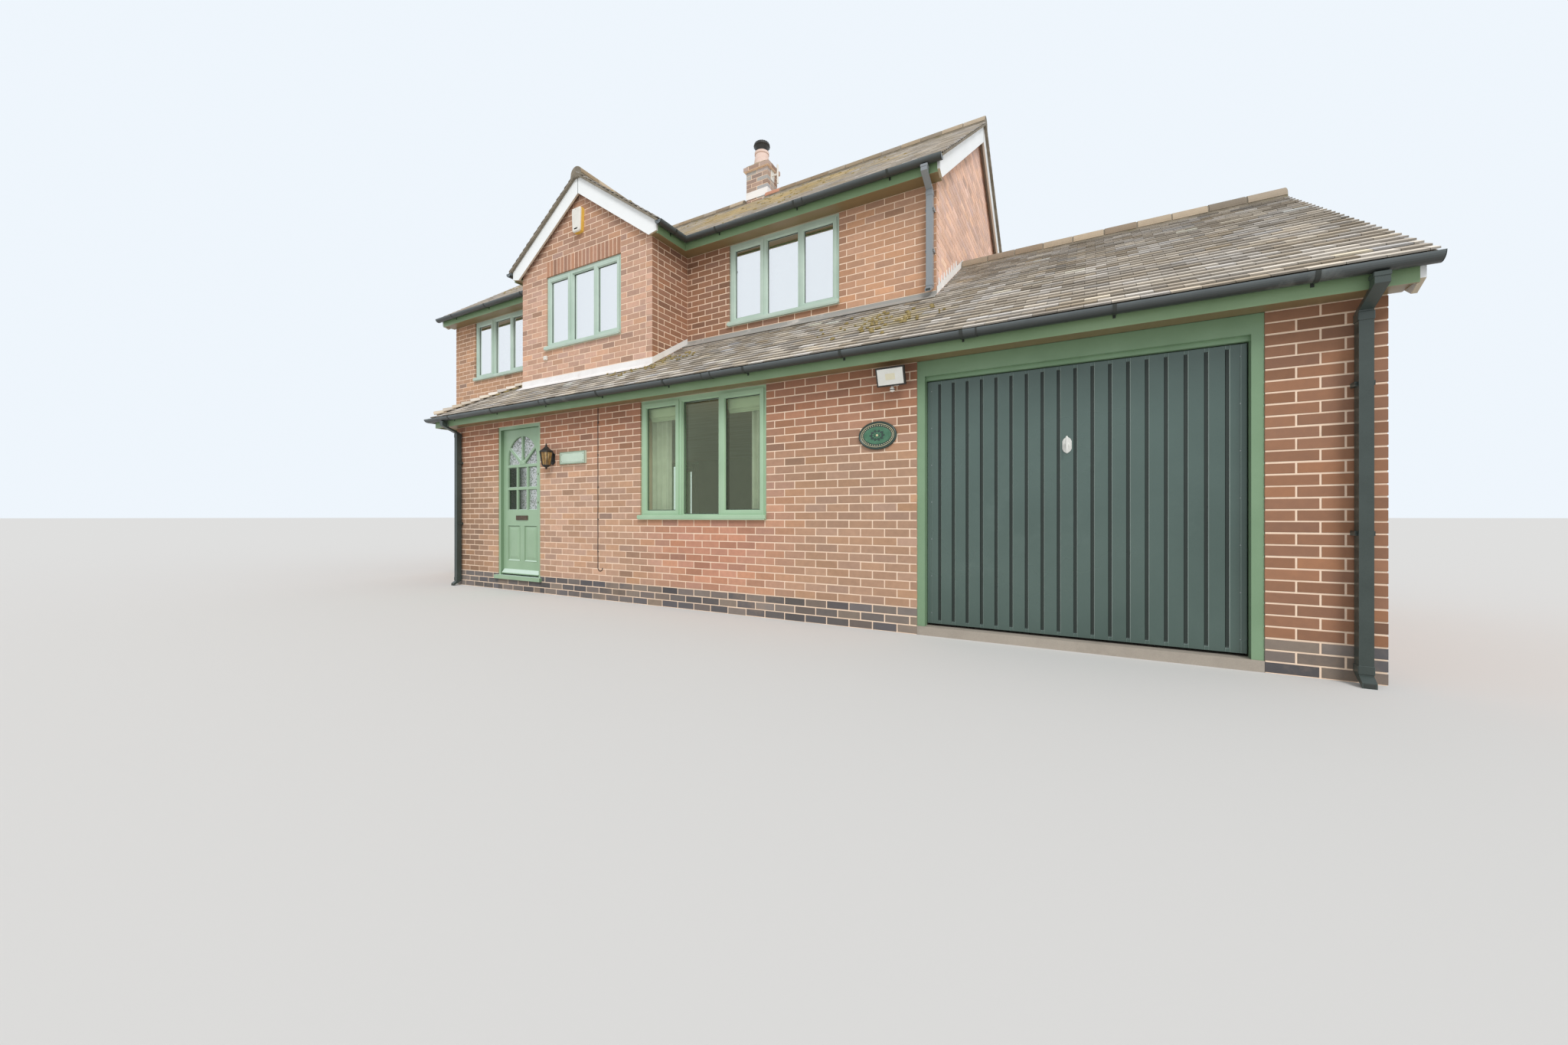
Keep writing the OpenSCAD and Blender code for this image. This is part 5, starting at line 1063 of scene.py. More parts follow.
moss_rng = Random(51)
for kind, count in (
    ("front", 420), ("main_front", 420), ("main_rear", 300), ("bay_left", 120), ("bay_right", 120),
    ("garage_rear", 150),
):
    flat = 1 / hypot(1, SLOPES[kind][0])
    for _ in range(count):
        a, b, c, d = MOSSY[kind][int(moss_rng.random() * len(MOSSY[kind]))]
        u = a + c * moss_rng.uniform(-1, 1)
        row = round((b + d * moss_rng.uniform(-1, 1)) / flat / GAUGE)
        run = row * GAUGE * flat
        size = moss_rng.uniform(9, 26)
        if settles(kind, u, run) and mossiness(kind, u, run) > 0.1:
            clump(kind, u, run, size)
moss.make("moss_on_the_roofs", slot="roof_tile", smooth=True)

# Ridge and hip tiles, half round, end to end on a bed of mortar

RIDGE_LONG, RIDGE_GAP, RIDGE_T, RIDGE_SIDES, BED_DROP = 300, 7, 16, 12, 44
RIDGE_TINTS = [(176, 160, 138), (162, 146, 124), (186, 170, 148), (150, 132, 110)]
ORANGE_TILE = (196, 142, 116)
ridges = Pile(TILE, TILE_MORTAR)


def ridge_line(start_at, end_at, seed, odd=None):
    """Half-round tiles along a ridge's centre line, in set-out millimetres. odd is one in orange."""
    rng = Random(seed)
    begin, finish = Vector(start_at), Vector(end_at)
    way = (finish - begin).normalized()
    side = way.cross(Vector((0, 0, 1))).normalized()
    up = side.cross(way)
    long = (finish - begin).length
    count = max(1, round(long / RIDGE_LONG))
    pitch = long / count

    def section(s, radius, jog):
        middle = begin + way * s + up * jog
        return [metres(*(middle + side * radius * c + up * radius * s)) for c, s in half_circle(RIDGE_SIDES)]

    for i in range(count):
        tint = tint_of(rng, RIDGE_TINTS[int(rng.random() * len(RIDGE_TINTS))], i * RIDGE_LONG, 0, 0.05)
        if i == odd:
            tint = tone(*ORANGE_TILE)[:3]
        a, b, jog = i * pitch + RIDGE_GAP / 2, (i + 1) * pitch - RIDGE_GAP / 2, rng.uniform(-2, 1)
        rings = []
        for s, radius in ((a + 4, RIDGE_R - 3), (a + 6, RIDGE_R), (b - 6, RIDGE_R), (b, RIDGE_R - 3)):
            rings.append(section(s, radius, jog) + section(s, radius - RIDGE_T, jog)[::-1])
        ridges.loft(rings, 0, tint)
    bed = [section(s, RIDGE_R - 5, -1) for s in (0.5, long - 0.5)]
    for ring, s in zip(bed, (0.5, long - 0.5)):
        for way_out, place_in in ((-1, len(ring)), (1, 0)):
            foot = begin + way * s + side * way_out * (RIDGE_R + 4) - up * BED_DROP
            ring.insert(place_in, metres(*foot))
    ridges.loft(bed, 1)


ridge_mid = RIDGE_Z - RIDGE_DROP
ridge_line((LEFT_EDGE, RIDGE_Y, ridge_mid), (STACK_X0 - LEAD_T - 1, RIDGE_Y, ridge_mid), 61)
ridge_line((STACK_X1 + LEAD_T + 1, RIDGE_Y, ridge_mid), (RIGHT_EDGE, RIDGE_Y, ridge_mid), 62, odd=0)
bay_mid_z = BAY_RIDGE_Z - RIDGE_DROP
ridge_line((BAY_MID, bay_front_y, bay_mid_z), (BAY_MID, meet_y - 40, bay_mid_z), 63)
garage_mid_z = GARAGE_RIDGE_Z - RIDGE_DROP
ridge_line((MAIN_X1 + LEAD_T + 1, GARAGE_RIDGE_Y, garage_mid_z), (EDGE_X, GARAGE_RIDGE_Y, garage_mid_z), 64)

BONNET_PITCH = 132
bonnet_rng = Random(65)
hip_low, hip_high = -REACH + 60, BAY_X0 - 60
hip_way = Vector((1, 1, LEAN_TAN)).normalized()
hip_side = Vector((1, -1, 0)).normalized()
hip_up = hip_side.cross(hip_way)
for i in range(int((hip_high - hip_low) / hip_way.x / BONNET_PITCH)):
    foot = Vector((hip_low, hip_low, lean_z(hip_low) - 28)) + hip_way * (i * BONNET_PITCH)
    rings = []
    for s, radius, lift in ((0, 92, 16), (4, 95, 17), (BONNET_PITCH + 34, 70, -14)):
        ring = []
        for r in (radius, radius - RIDGE_T):
            arc = [pi * (0.12 + 0.76 * k / RIDGE_SIDES) for k in range(RIDGE_SIDES + 1)]
            side = [foot + hip_way * s + hip_up * (lift - radius + 62 + r * sin(t)) + hip_side * r * cos(t)
                    for t in arc]
            ring += side if r == radius else side[::-1]
        rings.append([metres(*p) for p in ring])
    colour = blend(TILE_GREY, TILE_BROWN, bonnet_rng.random())
    ridges.loft(rings, 0, tint_of(bonnet_rng, colour, i * BONNET_PITCH, 0, 0.05))
ridges.make("ridge_and_hip_tiles", slot="roof_tile", replaced=["ridge_tiles"])

# Chimney cowl: the band round its foot, and its ribs

cowl = Pile(BLACK)
COWL_Z, COWL_H, POT_RIM_R, RIBS = STACK_TOP + 300, 190, 118, 20
RIB_LINE = [(131, 0.52), (147, 0.62), (133, 0.86)]
foot_band = [(POT_RIM_R + 2, 1), (POT_RIM_R + 6, 6), (POT_RIM_R + 6, 15), (POT_RIM_R + 2, 19)]
cowl.turn((POT_X, POT_Y, COWL_Z), foot_band, sides=40)
for c, s in circle(RIBS):
    rib = [(POT_X + r * c, POT_Y + r * s, COWL_Z + COWL_H * share) for r, share in RIB_LINE]
    cowl.tube(rib, 3.5, sides=5)
cowl.make("cowl_ribs", slot="black_metal", smooth=True)

# Lead: the steps where the flashing turns into the joints of the right gable

TEETH_STRIP, TOOTH_T, TOOTH_IN = 78, 5, 6
teeth = Mirrored(LEAD_BRIGHT)
at, _ = facing_right(MAIN_X1)
first_tooth = int(ceil((lean_z(MAIN_Y0) + TEETH_STRIP + 40) / COURSE))
for row in range(first_tooth, int((GARAGE_RIDGE_Z + 40) / COURSE)):
    z = row * COURSE + 3
    far = MAIN_Y0 + (z - TEETH_STRIP - lean_z(MAIN_Y0)) / LEAN_TAN
    near = far - COURSE / LEAN_TAN
    outline = [(near, z - COURSE - 8), (near + 0.62 * (far - near), z - 0.38 * COURSE - 8),
               (near + 24, z + 14)]
    teeth.prism(at, outline, -TOOTH_T, TOOTH_IN, edge=0.8, flip=True)
teeth.make("lead_steps", slot="lead")

# Rainwater goods: half-round gutters with straps and unions, and the trim of the square downpipes

gutters = Pile(GUTTER, GUTTER_STRAP)
GUTTER_R, GUTTER_SIDES, STRAP_EVERY, UNION_EVERY = 52, 14, 1050, 3150
STRAP_HALF, UNION_HALF, LIP_HALF, LIP_AT = 12, 45, 6, 52


def gutter(start_at, degrees, long, start_turn, end_turn, capped=(True, True)):
    """A run along its own X from a point at the back of its rim, turned about the upright."""
    c, s = cos(radians(degrees)), sin(radians(degrees))
    x0, y0, z0 = start_at
    round_under = half_circle(GUTTER_SIDES)

    def at(x, out, z):
        return metres(x0 + x * c + out * s, y0 + x * s - out * c, z0 + z)

    def ring(radius, thick, x_of):
        sizes = (radius, radius - thick)
        outer, inner = ([(GUTTER_W / 2 - r * a, -r * b) for a, b in round_under] for r in sizes)
        return [at(x_of(out), out, z) for out, z in outer + inner[::-1]]

    def sleeve(radius, thick, x, half, look):
        gutters.loft([ring(radius, thick, lambda out, p=p: p) for p in (x - half, x + half)], look)

    ends = [lambda out: -start_turn * out, lambda out: long + end_turn * out]
    gutters.loft([ring(GUTTER_R, 3, end) for end in ends], 0)
    for show, x in zip(capped, (0, long)):
        if show:
            a, b = (x, x + 4) if x == 0 else (x - 4, x)
            disc = [(GUTTER_W / 2 - GUTTER_R * p, -GUTTER_R * q) for p, q in round_under]
            gutters.loft([[at(p, out, z) for out, z in disc] for p in (a, b)], 0)
    straps = max(1, round(long / STRAP_EVERY))
    for i in range(straps):
        x = (i + 0.5) * long / straps
        sleeve(GUTTER_R + 3.5, 3, x, STRAP_HALF, 1)
        strap = [[at(x - 9, out, 0), at(x + 9, out, 0), at(x + 9, out - 4, -62), at(x - 9, out - 4, -62)]
                 for out in (6, 1)]
        gutters.loft(strap, 1)
    unions = int(long // UNION_EVERY)
    for i in range(unions):
        x = (i + 1) * long / (unions + 1) + 60
        sleeve(GUTTER_R + 4, 4, x, UNION_HALF, 0)
        for offset in (-LIP_AT, LIP_AT):
            sleeve(GUTTER_R + 3, 3, x + offset, LIP_HALF, 1)


LOW_RIM, UP_RIM = LOW_EDGE - GUTTER_DROP, UP_EDGE - GUTTER_DROP
rear_y, upper_y = GARAGE_D + EAVES, MAIN_Y0 - EAVES
bay_out_x0, bay_out_x1 = BAY_X0 - BAY_EAVES, BAY_X1 + BAY_EAVES
wall_stop = MAIN_Y0 - LEAD_T - 1
gutter((-EAVES, -EAVES, LOW_RIM), 0, EDGE_X + EAVES, 1, 0, (False, True))
gutter((-EAVES, wall_stop, LOW_RIM), -90, wall_stop + EAVES, 0, 1, (True, False))
gutter((EDGE_X, rear_y, LOW_RIM), 180, EDGE_X - MAIN_X1, 0, 0)
gutter((LEFT_EDGE, upper_y, UP_RIM), 0, bay_out_x0 - LEFT_EDGE, 0, -1, (True, False))
gutter((bay_out_x0, upper_y, UP_RIM), -90, upper_y - bay_front_y, -1, 0, (False, True))
gutter((bay_out_x1, bay_front_y, UP_RIM), 90, upper_y - bay_front_y, 0, -1, (True, False))
gutter((bay_out_x1, upper_y, UP_RIM), 0, RIGHT_EDGE - bay_out_x1, -1, 0, (False, True))
gutter((RIGHT_EDGE, MAIN_Y1 + EAVES, UP_RIM), 180, RIGHT_EDGE - LEFT_EDGE, 0, 0)
gutters.make("gutters_with_straps", slot="gutter_plastic", replaced=["gutters"], smooth=True)

PIPE_W, PIPE_GAP = 65, 20
trim = Pile(PIPE, GUTTER_STRAP)


def pipe_trim(x, wall_y, foot_z, soffit_z):
    """Sockets, clip screws and the mouth of one downpipe, a dark plate of painted shade."""
    y = wall_y - PIPE_GAP - PIPE_W / 2
    half = PIPE_W / 2 + 4
    neck = soffit_z - 30 - PIPE_W
    for z in (neck - 62, foot_z + PIPE_W + 6):
        trim.box(x - half, x + half, y - half, y + half, z, z + 52, edge=3)
    outlet_y = wall_y - EAVES - GUTTER_W / 2
    trim.box(x - half, x + half, outlet_y - half, outlet_y + half, soffit_z + 24, soffit_z + 52, edge=3)
    # The mouth is a dark plate: painted shade for the inside of the shoe
    mouth = y - PIPE_W / 2 - 45
    trim.box(x - 25, x + 25, mouth - 1.5, mouth + 8, foot_z + 5, foot_z + PIPE_W / 2 - 4, 1, edge=1)
    for i in (1, 2):
        z = foot_z + (neck - foot_z) * i / 2.5 + 14
        for way in (-1, 1):
            trim.stud(x + way * (PIPE_W / 2 + 6), y - 12, z, [(5, 0), (5, 2), (3, 4)], 1)


shoe_y = MAIN_Y0 - PIPE_GAP - PIPE_W - 45
pipe_trim(MAIN_X1 - 25 - PIPE_W / 2, MAIN_Y0, lean_z(shoe_y + PIPE_W) + LEAD_T + PIPE_W / 2, UP_SOFFIT)
pipe_trim(FRONT_W - 88 - PIPE_W / 2, 0, 0, LOW_SOFFIT)
pipe_trim(85 + PIPE_W / 2, 0, 0, LOW_SOFFIT)
trim.make("downpipe_sockets", slot="gutter_plastic")

# Bargeboards: the plumb joint under each apex

plumb = Pile(GUTTER_STRAP)
bay_board_y = BAY_Y - BAY_VERGE + 35
bay_board_top = BAY_RIDGE_Z - 62
plumb.box(BAY_MID - 3, BAY_MID + 3, bay_board_y - 1.2, bay_board_y + 2, bay_board_top - 232, bay_board_top - 6)
for x, way, y, top in (
    (MAIN_X1, 1, RIDGE_Y, RIDGE_Z), (MAIN_X0, -1, RIDGE_Y, RIDGE_Z),
    (FRONT_W, 1, GARAGE_RIDGE_Y, GARAGE_RIDGE_Z),
):
    face = x + way * 80
    plumb.box(min(face, face + way * 1.2), max(face, face + way * 1.2), y - 3, y + 3, top - 292, top - 72)
plumb.make("bargeboard_joints", slot="white_timber")

# Windows: beads round each pane, dark gaskets, noses on the sills, and the cloth behind the glass

FRAME_B, SILL_H, SASH_IN, SASH_LOW = 48, 50, 28, 92
# How far in from the wall's face the cloths hang, and how far in from the side a curtain reaches
NET_AT, CURTAIN_AT, DRAWN_TO = 122, 185, 300


def window_trim(name, at, width, height, paint):
    """Beads, gaskets and the sill's nose of a window of three lights, from its left bottom corner."""
    pile = Pile(paint, GASKET)
    light = (width - 4 * FRAME_B) / 3
    top = height - FRAME_B
    for i in range(3):
        x = FRAME_B + i * (light + FRAME_B)
        if i == 1:
            x0, x1, z0, z1, face, pane = x, x + light, SILL_H, top, 31, 57
        else:
            x0, x1, z0, z1, face, pane = x + SASH_IN, x + light - SASH_IN, SASH_LOW, top - SASH_IN, 9, 37
            seam = [(-1.5, 5.8), (-1.5, 4.6), (1.5, 4.6), (1.5, 5.8)]
            pile.moulding(at, x0 - 22, x1 + 22, z0 - 30, z1 + 22, seam)
        bead = [(0, face), (6, face + 3), (10, pane - 7), (11, pane), (0, pane)]
        seal = [(10, pane - 5), (17, pane - 3.5), (17, pane), (10, pane)]
        for look, profile in enumerate((bead, seal)):
            pile.moulding(at, x0, x1, z0, z1, profile, look)
    nose = [(-37.5, 8), (-41, 14), (-41, 40), (-36, 46), (-20, 47), (-20, 8)]
    rings = [[at(u, d, z) for d, z in nose] for u in (-12, width + 12)]
    pile.loft(rings, 0)
    pile.make(name, slot="sage_timber", outwards=True)


def length_of(path):
    return sum(dist(a, b) for a, b in zip(path, path[1:]))


def hanging(name, at, look, u0, u1, z0, z1, depth, fold, deep, seed):
    """A cloth that hangs in upright folds. Its cut width is the length of its wavy line."""
    rng = Random(seed)
    line, phase = [], rng.uniform(0, tau)
    count = max(12, round((u1 - u0) / (fold / 10)))
    for i in range(count + 1):
        u = u0 + (u1 - u0) * i / count
        phase += tau / 10 * rng.uniform(0.72, 1.28)
        line.append((u, depth + deep * sin(phase)))
    wide = length_of(line)
    pile = Pile(look)
    levels = [z0 + (z1 - z0) * i / 8 for i in range(9)]
    pile.loft([[at(u, d, z) for u, d in line] for z in levels], caps=False, closed=False)
    cloth = pile.make(name)
    cloth.data.shade_smooth()


def curtain_rail(name, at, width, z, depth):
    """A slim track with its brackets, along the head of a window."""
    pile = Pile(WHITE_PAINT, PLASTIC)
    profile = [(-9, 0), (9, 0), (9, 14), (6, 16), (-6, 16), (-9, 14)]
    pile.loft([[at(u, depth + d, z + h) for d, h in profile] for u in (6, width - 6)], 0)
    for i in range(5):
        u = 40 + (width - 80) * i / 4
        hook = [(u - 5, z - 7), (u + 5, z - 7), (u + 5, z + 1), (u - 5, z + 1)]
        pile.prism(at, hook, depth - 4, depth + 4, 1)
    pile.make(name, slot="white_plastic", outwards=True)


def roman_blind(name, at, u0, u1, top, depth):
    """A blind drawn up into four falls, each longer and nearer the room than the last."""
    path = [(depth, top)]
    for i, (drop, rise) in enumerate(((118, 96), (104, 92), (108, 96), (112, 0))):
        near = depth + 5 + i * 9
        foot = path[-1][1] - drop
        path += [(near - 2, path[-1][1] - drop * 0.5), (near, foot + 6), (near + 3, foot),
                 (near + 6, foot + 6)]
        if rise:
            path.append((near + 5, foot + rise))
    length = length_of(path)
    pile = Pile(BLIND)
    across = [u0 + (u1 - u0) * i / 6 for i in range(7)]
    pile.loft([[at(u, d, z) for u in across] for d, z in path], caps=False, closed=False)
    blind = pile.make(name)
    blind.data.shade_smooth()


def dress(name, at, width, height, upper, seed, paint=SAGE_PAINT):
    """A window's trim with nets behind an upper one, or curtains and blinds behind a lower one."""
    window_trim(f"{name}_beads", at, width, height, paint)
    rail = f"{name}_track"
    head = height - 40
    curtain_rail(rail, at, width, head, NET_AT if upper else CURTAIN_AT)
    light = (width - 4 * FRAME_B) / 3
    if upper:
        hanging(f"{name}_net", at, NET, 14, width - 14, SILL_H + 12, head - 6, NET_AT, 62, 11, seed)
        return
    for side, (u0, u1) in enumerate(((12, DRAWN_TO), (width - DRAWN_TO, width - 12))):
        hanging(f"{name}_curtain_{side}", at, CURTAIN, u0, u1, SILL_H + 16, head - 6, CURTAIN_AT, 70, 20,
                seed + side)
    for side, x in enumerate((FRAME_B, 3 * FRAME_B + 2 * light)):
        head_rail = f"{name}_blind_rail_{side}"
        bar = Pile(WHITE_PAINT)
        outline = rect(x + 10, x + light - 10, height - 78, height - 50)
        bar.prism(at, outline, 98, 118, edge=3)
        bar.make(head_rail, slot="white_plastic", outwards=True)
        roman_blind(f"{name}_blind_{side}", at, x + 12, x + light - 12, height - 66, 97)


def front_window(x0, y, z0):
    return lambda u, d, z: metres(x0 + u, y + d, z0 + z)


def rear_window(x0, z0):
    return lambda u, d, z: metres(x0 + UPPER_W - u, MAIN_Y1 - d, z0 + z)


dress("ground_window", front_window(GROUND_WIN, 0, GROUND_Z), GROUND_W, GROUND_H, False, 71)
dress("bay_window", front_window(BAY_WIN, BAY_Y, BAY_WIN_Z), BAY_WIN_W, UPPER_H, True, 72, PALE_FRAME)
dress("left_window", front_window(LEFT_WIN, MAIN_Y0, UPPER_Z), UPPER_W, UPPER_H, True, 73, PALE_FRAME)
dress("right_window", front_window(RIGHT_WIN, MAIN_Y0, UPPER_Z), UPPER_W, UPPER_H, True, 74, PALE_FRAME)
for column, rear_x in enumerate((LEFT_WIN, RIGHT_WIN)):
    dress(f"rear_window_{column}", rear_window(rear_x, UPPER_Z), UPPER_W, UPPER_H, True, 75 + column)
    low = rear_window(rear_x, GROUND_Z)
    dress(f"rear_low_window_{column}", low, UPPER_W, GROUND_H, False, 81 + 4 * column)

# Front door: raised fields, the beads of its panes, and its letter flap and locks

LEAF_X, LEAF_W, LEAF_Z, STILE = 1050, 834, 210, 105
FIELD_W, FIELD_Z0, FIELD_Z1, FIELD_FACE = 264.5, 190, 675, 67
PANE_FACE, BAR_B = 76, 28
ROWS_Z, PANE_H, LETTER_H, LETTER_U0, LETTER_U1 = 887, 281, 62, 292, 542
SUN_Z, SUN_R, SUN_SPRING, HUB_R, HUB_FACE_R = 1505, 312, 80, 62, 46


def leaf(u, d, z):
    return metres(LEAF_X + u, d, LEAF_Z + z)


def shrink(outline, by):
    """An outline with its edges moved inwards."""
    moved = []
    for i, (x, z) in enumerate(outline):
        (ax, az), (bx, bz) = outline[i - 1], outline[(i + 1) % len(outline)]
        first, last = Vector((x - ax, z - az)).normalized(), Vector((bx - x, bz - z)).normalized()
        turn = Vector((-first.y - last.y, first.x + last.x))
        turn = turn.normalized() if turn.length > 0.01 else Vector((-last.y, last.x))
        share = max(0.5, turn.dot(Vector((-last.y, last.x))))
        moved.append((x + turn.x * by / share, z + turn.y * by / share))
    return moved


def arch_point(x, z, angle):
    """Where a line from a point inside the arched light meets its edge."""
    c, s = cos(angle), sin(angle)
    if abs(c) > 1e-6:
        t = (copysign(SUN_R, c) - x) / c
        if z + t * s <= SUN_SPRING:
            return x + t * c, z + t * s
    dz = z - SUN_SPRING
    b = x * c + dz * s
    t = -b + sqrt(b * b - (x * x + dz * dz - SUN_R * SUN_R))
    return x + t * c, z + t * s


def sun_panes():
    """The four lights between the hub, the three bars and the arch, round the hub's middle."""
    edges = [(0, 0, 40, BAR_B / 2), (40, BAR_B / 2, 90, BAR_B / 2), (90, BAR_B / 2, 140, BAR_B / 2),
             (140, BAR_B / 2, 180, 0)]
    for low, low_off, high, high_off in edges:
        ends = []
        for angle, off, way in ((low, low_off, 1), (high, high_off, -1)):
            a = radians(angle)
            along = sqrt(HUB_R ** 2 - off ** 2)
            foot = (along * cos(a) - way * off * sin(a), along * sin(a) + way * off * cos(a))
            ends.append((foot, arch_point(*foot, a)))
        (foot0, tip0), (foot1, tip1) = ends
        start_at, stop_at = (atan2(p[1], p[0]) for p in (tip0, tip1))
        outer = [arch_point(0, 0, start_at + (stop_at - start_at) * i / 10) for i in range(1, 10)]
        a0, a1 = (atan2(p[1], p[0]) for p in (foot0, foot1))
        inner = [(HUB_R * cos(a1 + (a0 - a1) * i / 6), HUB_R * sin(a1 + (a0 - a1) * i / 6))
                 for i in range(1, 6)]
        yield [foot0, tip0, *outer, tip1, foot1, *inner]


door_work = Pile(DOOR_SAGE_AND_SHADE, GASKET)
PANE_BEAD = [(0, 57.5), (0, 60), (5, 61.5), (9, 70), (9.5, PANE_FACE), (0, PANE_FACE)]
for u0 in (STILE, STILE + FIELD_W + 95):
    u1 = u0 + FIELD_W
    cove = [(-5, 57), (-4, 54.5), (2, 54), (6, 59), (12, 64), (13, FIELD_FACE), (0, FIELD_FACE)]
    door_work.moulding(leaf, u0, u1, FIELD_Z0, FIELD_Z1, cove)
    rings = []
    for inset, depth in ((32, FIELD_FACE), (33, 65.5), (58, 60), (60, 59.4)):
        raised = rect(u0 + inset, u1 - inset, FIELD_Z0 + inset, FIELD_Z1 - inset)
        rings.append([leaf(u, depth, z) for u, z in raised])
    door_work.loft(rings)
pane_w = (LEAF_W - 2 * STILE - 2 * BAR_B) / 3
for column in range(3):
    for row in range(2):
        u0, z0 = STILE + column * (pane_w + BAR_B), ROWS_Z + row * (PANE_H + BAR_B)
        door_work.moulding(leaf, u0, u0 + pane_w, z0, z0 + PANE_H, PANE_BEAD)
for outline in sun_panes():
    rings = [[leaf(LEAF_W / 2 + x, depth, SUN_Z + z) for x, z in shrink(outline, inset)]
             for inset, depth in PANE_BEAD + PANE_BEAD[:1]]
    door_work.loft(rings, caps=False)
hub = [(LEAF_W / 2 + HUB_FACE_R * c, SUN_Z + 2 + HUB_FACE_R * s) for c, s in half_circle(14)]
door_work.prism(leaf, hub, 52.5, 57.5, edge=2.5)
door_work.make("front_door_mouldings", "door_leaf", slot="sage_timber", outwards=True)

fittings = Pile(BRONZE, BLACK)
letter_z = FIELD_Z1 + (ROWS_Z - FIELD_Z1 - LETTER_H) / 2
for inset, face, deep in ((0, 46.5, 49.5), (17, 43.5, 48)):
    up = inset * 0.75
    outline = rect(LETTER_U0 + inset, LETTER_U1 - inset, letter_z + up, letter_z + LETTER_H - up)
    fittings.prism(leaf, outline, face, deep, edge=2)
for u in (LETTER_U0 + 12, LETTER_U1 - 12):
    fittings.stud(LEAF_X + u, 47, LEAF_Z + letter_z + LETTER_H / 2, [(4.5, 0), (4.5, 1.2), (2, 2.6)], 1, 10)
for z in (985, 1365):
    centre = (LEAF_X + LEAF_W - STILE / 2, 46, LEAF_Z + z)
    fittings.stud(*centre, [(15, 0), (15, 2), (12, 4.5), (7, 5), (6, 3.5)], 0, 20)
    fittings.prism(leaf, rect(LEAF_W - 53.9, LEAF_W - 51.1, z - 4.5, z + 4.5), 42, 43.5, 1)
fittings.make("front_door_flap_and_locks", "door_leaf", slot="black_metal", smooth=True, outwards=True)

# Garage door: one pressed sheet with rounded grooves, folded edges, cross rails and screws

PANEL_X0, PANEL_X1, PANEL_Z0, PANEL_Z1, PANEL_Y = 6991, 9109, 95, 2157, 73
SHEET_T, GROOVE_D, GROOVE_END, FOLD, FOLD_DEEP, CREASE_IN, GROOVES = 3, 8, 28, 40, 25, 35, 18
GROOVE = [(-13.5, 0), (-12, 1.2), (-9.5, 6.8), (-7, GROOVE_D), (7, GROOVE_D), (9.5, 6.8), (12, 1.2), (13.5, 0)]
CREASE = [(-2.5, 0), (0, 1.3), (2.5, 0)]
RAILS_Z = (782.3, 1469.7)
columns = [(PANEL_X0 + 1.5, 1.5), (PANEL_X0 + 4, 0)]
columns += [(PANEL_X0 + CREASE_IN + x, d) for x, d in CREASE]
for i in range(GROOVES):
    middle = PANEL_X0 + 104 + i * (PANEL_X1 - PANEL_X0 - 208) / (GROOVES - 1)
    columns += [(middle + x, d) for x, d in GROOVE]
columns += [(PANEL_X1 - CREASE_IN + x, d) for x, d in CREASE] + [(PANEL_X1 - 4, 0), (PANEL_X1 - 1.5, 1.5)]
steps = [(0, 0), (GROOVE_END - 5, 0), (GROOVE_END - 1, 0.35), (GROOVE_END + 3, 0.85), (GROOVE_END + 8, 1)]
levels = [(PANEL_Z0 + 1.5 + z, share) for z, share in steps]
levels += [(PANEL_Z0 + 300 + 290 * i, 1) for i in range(6)]
levels += [(PANEL_Z1 - 1.5 - z, share) for z, share in reversed(steps)]
sheet = Pile(STEEL_PAINT, ZINC, GROOVE_SHADE)
wide = len(columns)
count = wide * len(levels)
points = [metres(x, PANEL_Y + d * (share if d > 2 else 1) + back * SHEET_T, z)
          for back in (0, 1) for z, share in levels for x, d in columns]
faces = []
for r in range(len(levels) - 1):
    for i in range(wide - 1):
        a, b = r * wide + i, (r + 1) * wide + i
        faces += [(a, a + 1, b + 1, b), (count + a, count + b, count + b + 1, count + a + 1)]
rim = list(range(wide)) + [r * wide + wide - 1 for r in range(1, len(levels))]
rim += [count - wide + i for i in range(wide - 2, -1, -1)] + [r * wide for r in range(len(levels) - 2, 0, -1)]
for a, b in zip(rim, rim[1:] + rim[:1]):
    faces.append((a, count + a, count + b, b))
sheet.add(points, faces)
# The floors of the grooves take painted shade
for i, face in enumerate(faces):
    if all(columns[p % wide][1] > 6 for p in face) and all(levels[p % count // wide][1] > 0.3 for p in face):
        sheet.mats[i - len(faces)] = 2
for broad, near in ((SHEET_T, 1.5), (FOLD, 22)):
    y0, y1 = PANEL_Y + near, PANEL_Y + FOLD_DEEP
    for x0, x1 in ((PANEL_X0, PANEL_X0 + broad), (PANEL_X1 - broad, PANEL_X1)):
        sheet.box(x0, x1, y0, y1, PANEL_Z0, PANEL_Z1, edge=1)
    for z0, z1 in ((PANEL_Z0, PANEL_Z0 + broad), (PANEL_Z1 - broad, PANEL_Z1)):
        sheet.box(PANEL_X0, PANEL_X1, y0, y1, z0, z1, edge=1)
for z in RAILS_Z:
    sheet.box(PANEL_X0 + 38, PANEL_X1 - 38, PANEL_Y + 11.5, PANEL_Y + FOLD_DEEP, z - 25, z + 25, edge=1.5)
for x in (PANEL_X0 + CREASE_IN, PANEL_X1 - CREASE_IN):
    for i in range(7):
        z = PANEL_Z0 + 90 + i * 315
        sheet.stud(x, PANEL_Y + 1.2, z, [(4.5, 0), (4.5, 1.2), (2.5, 2.4)], 1, 8)
sheet.make("garage_door_sheet", "garage_panel", "door_steel", ["garage_door"], outwards=True)

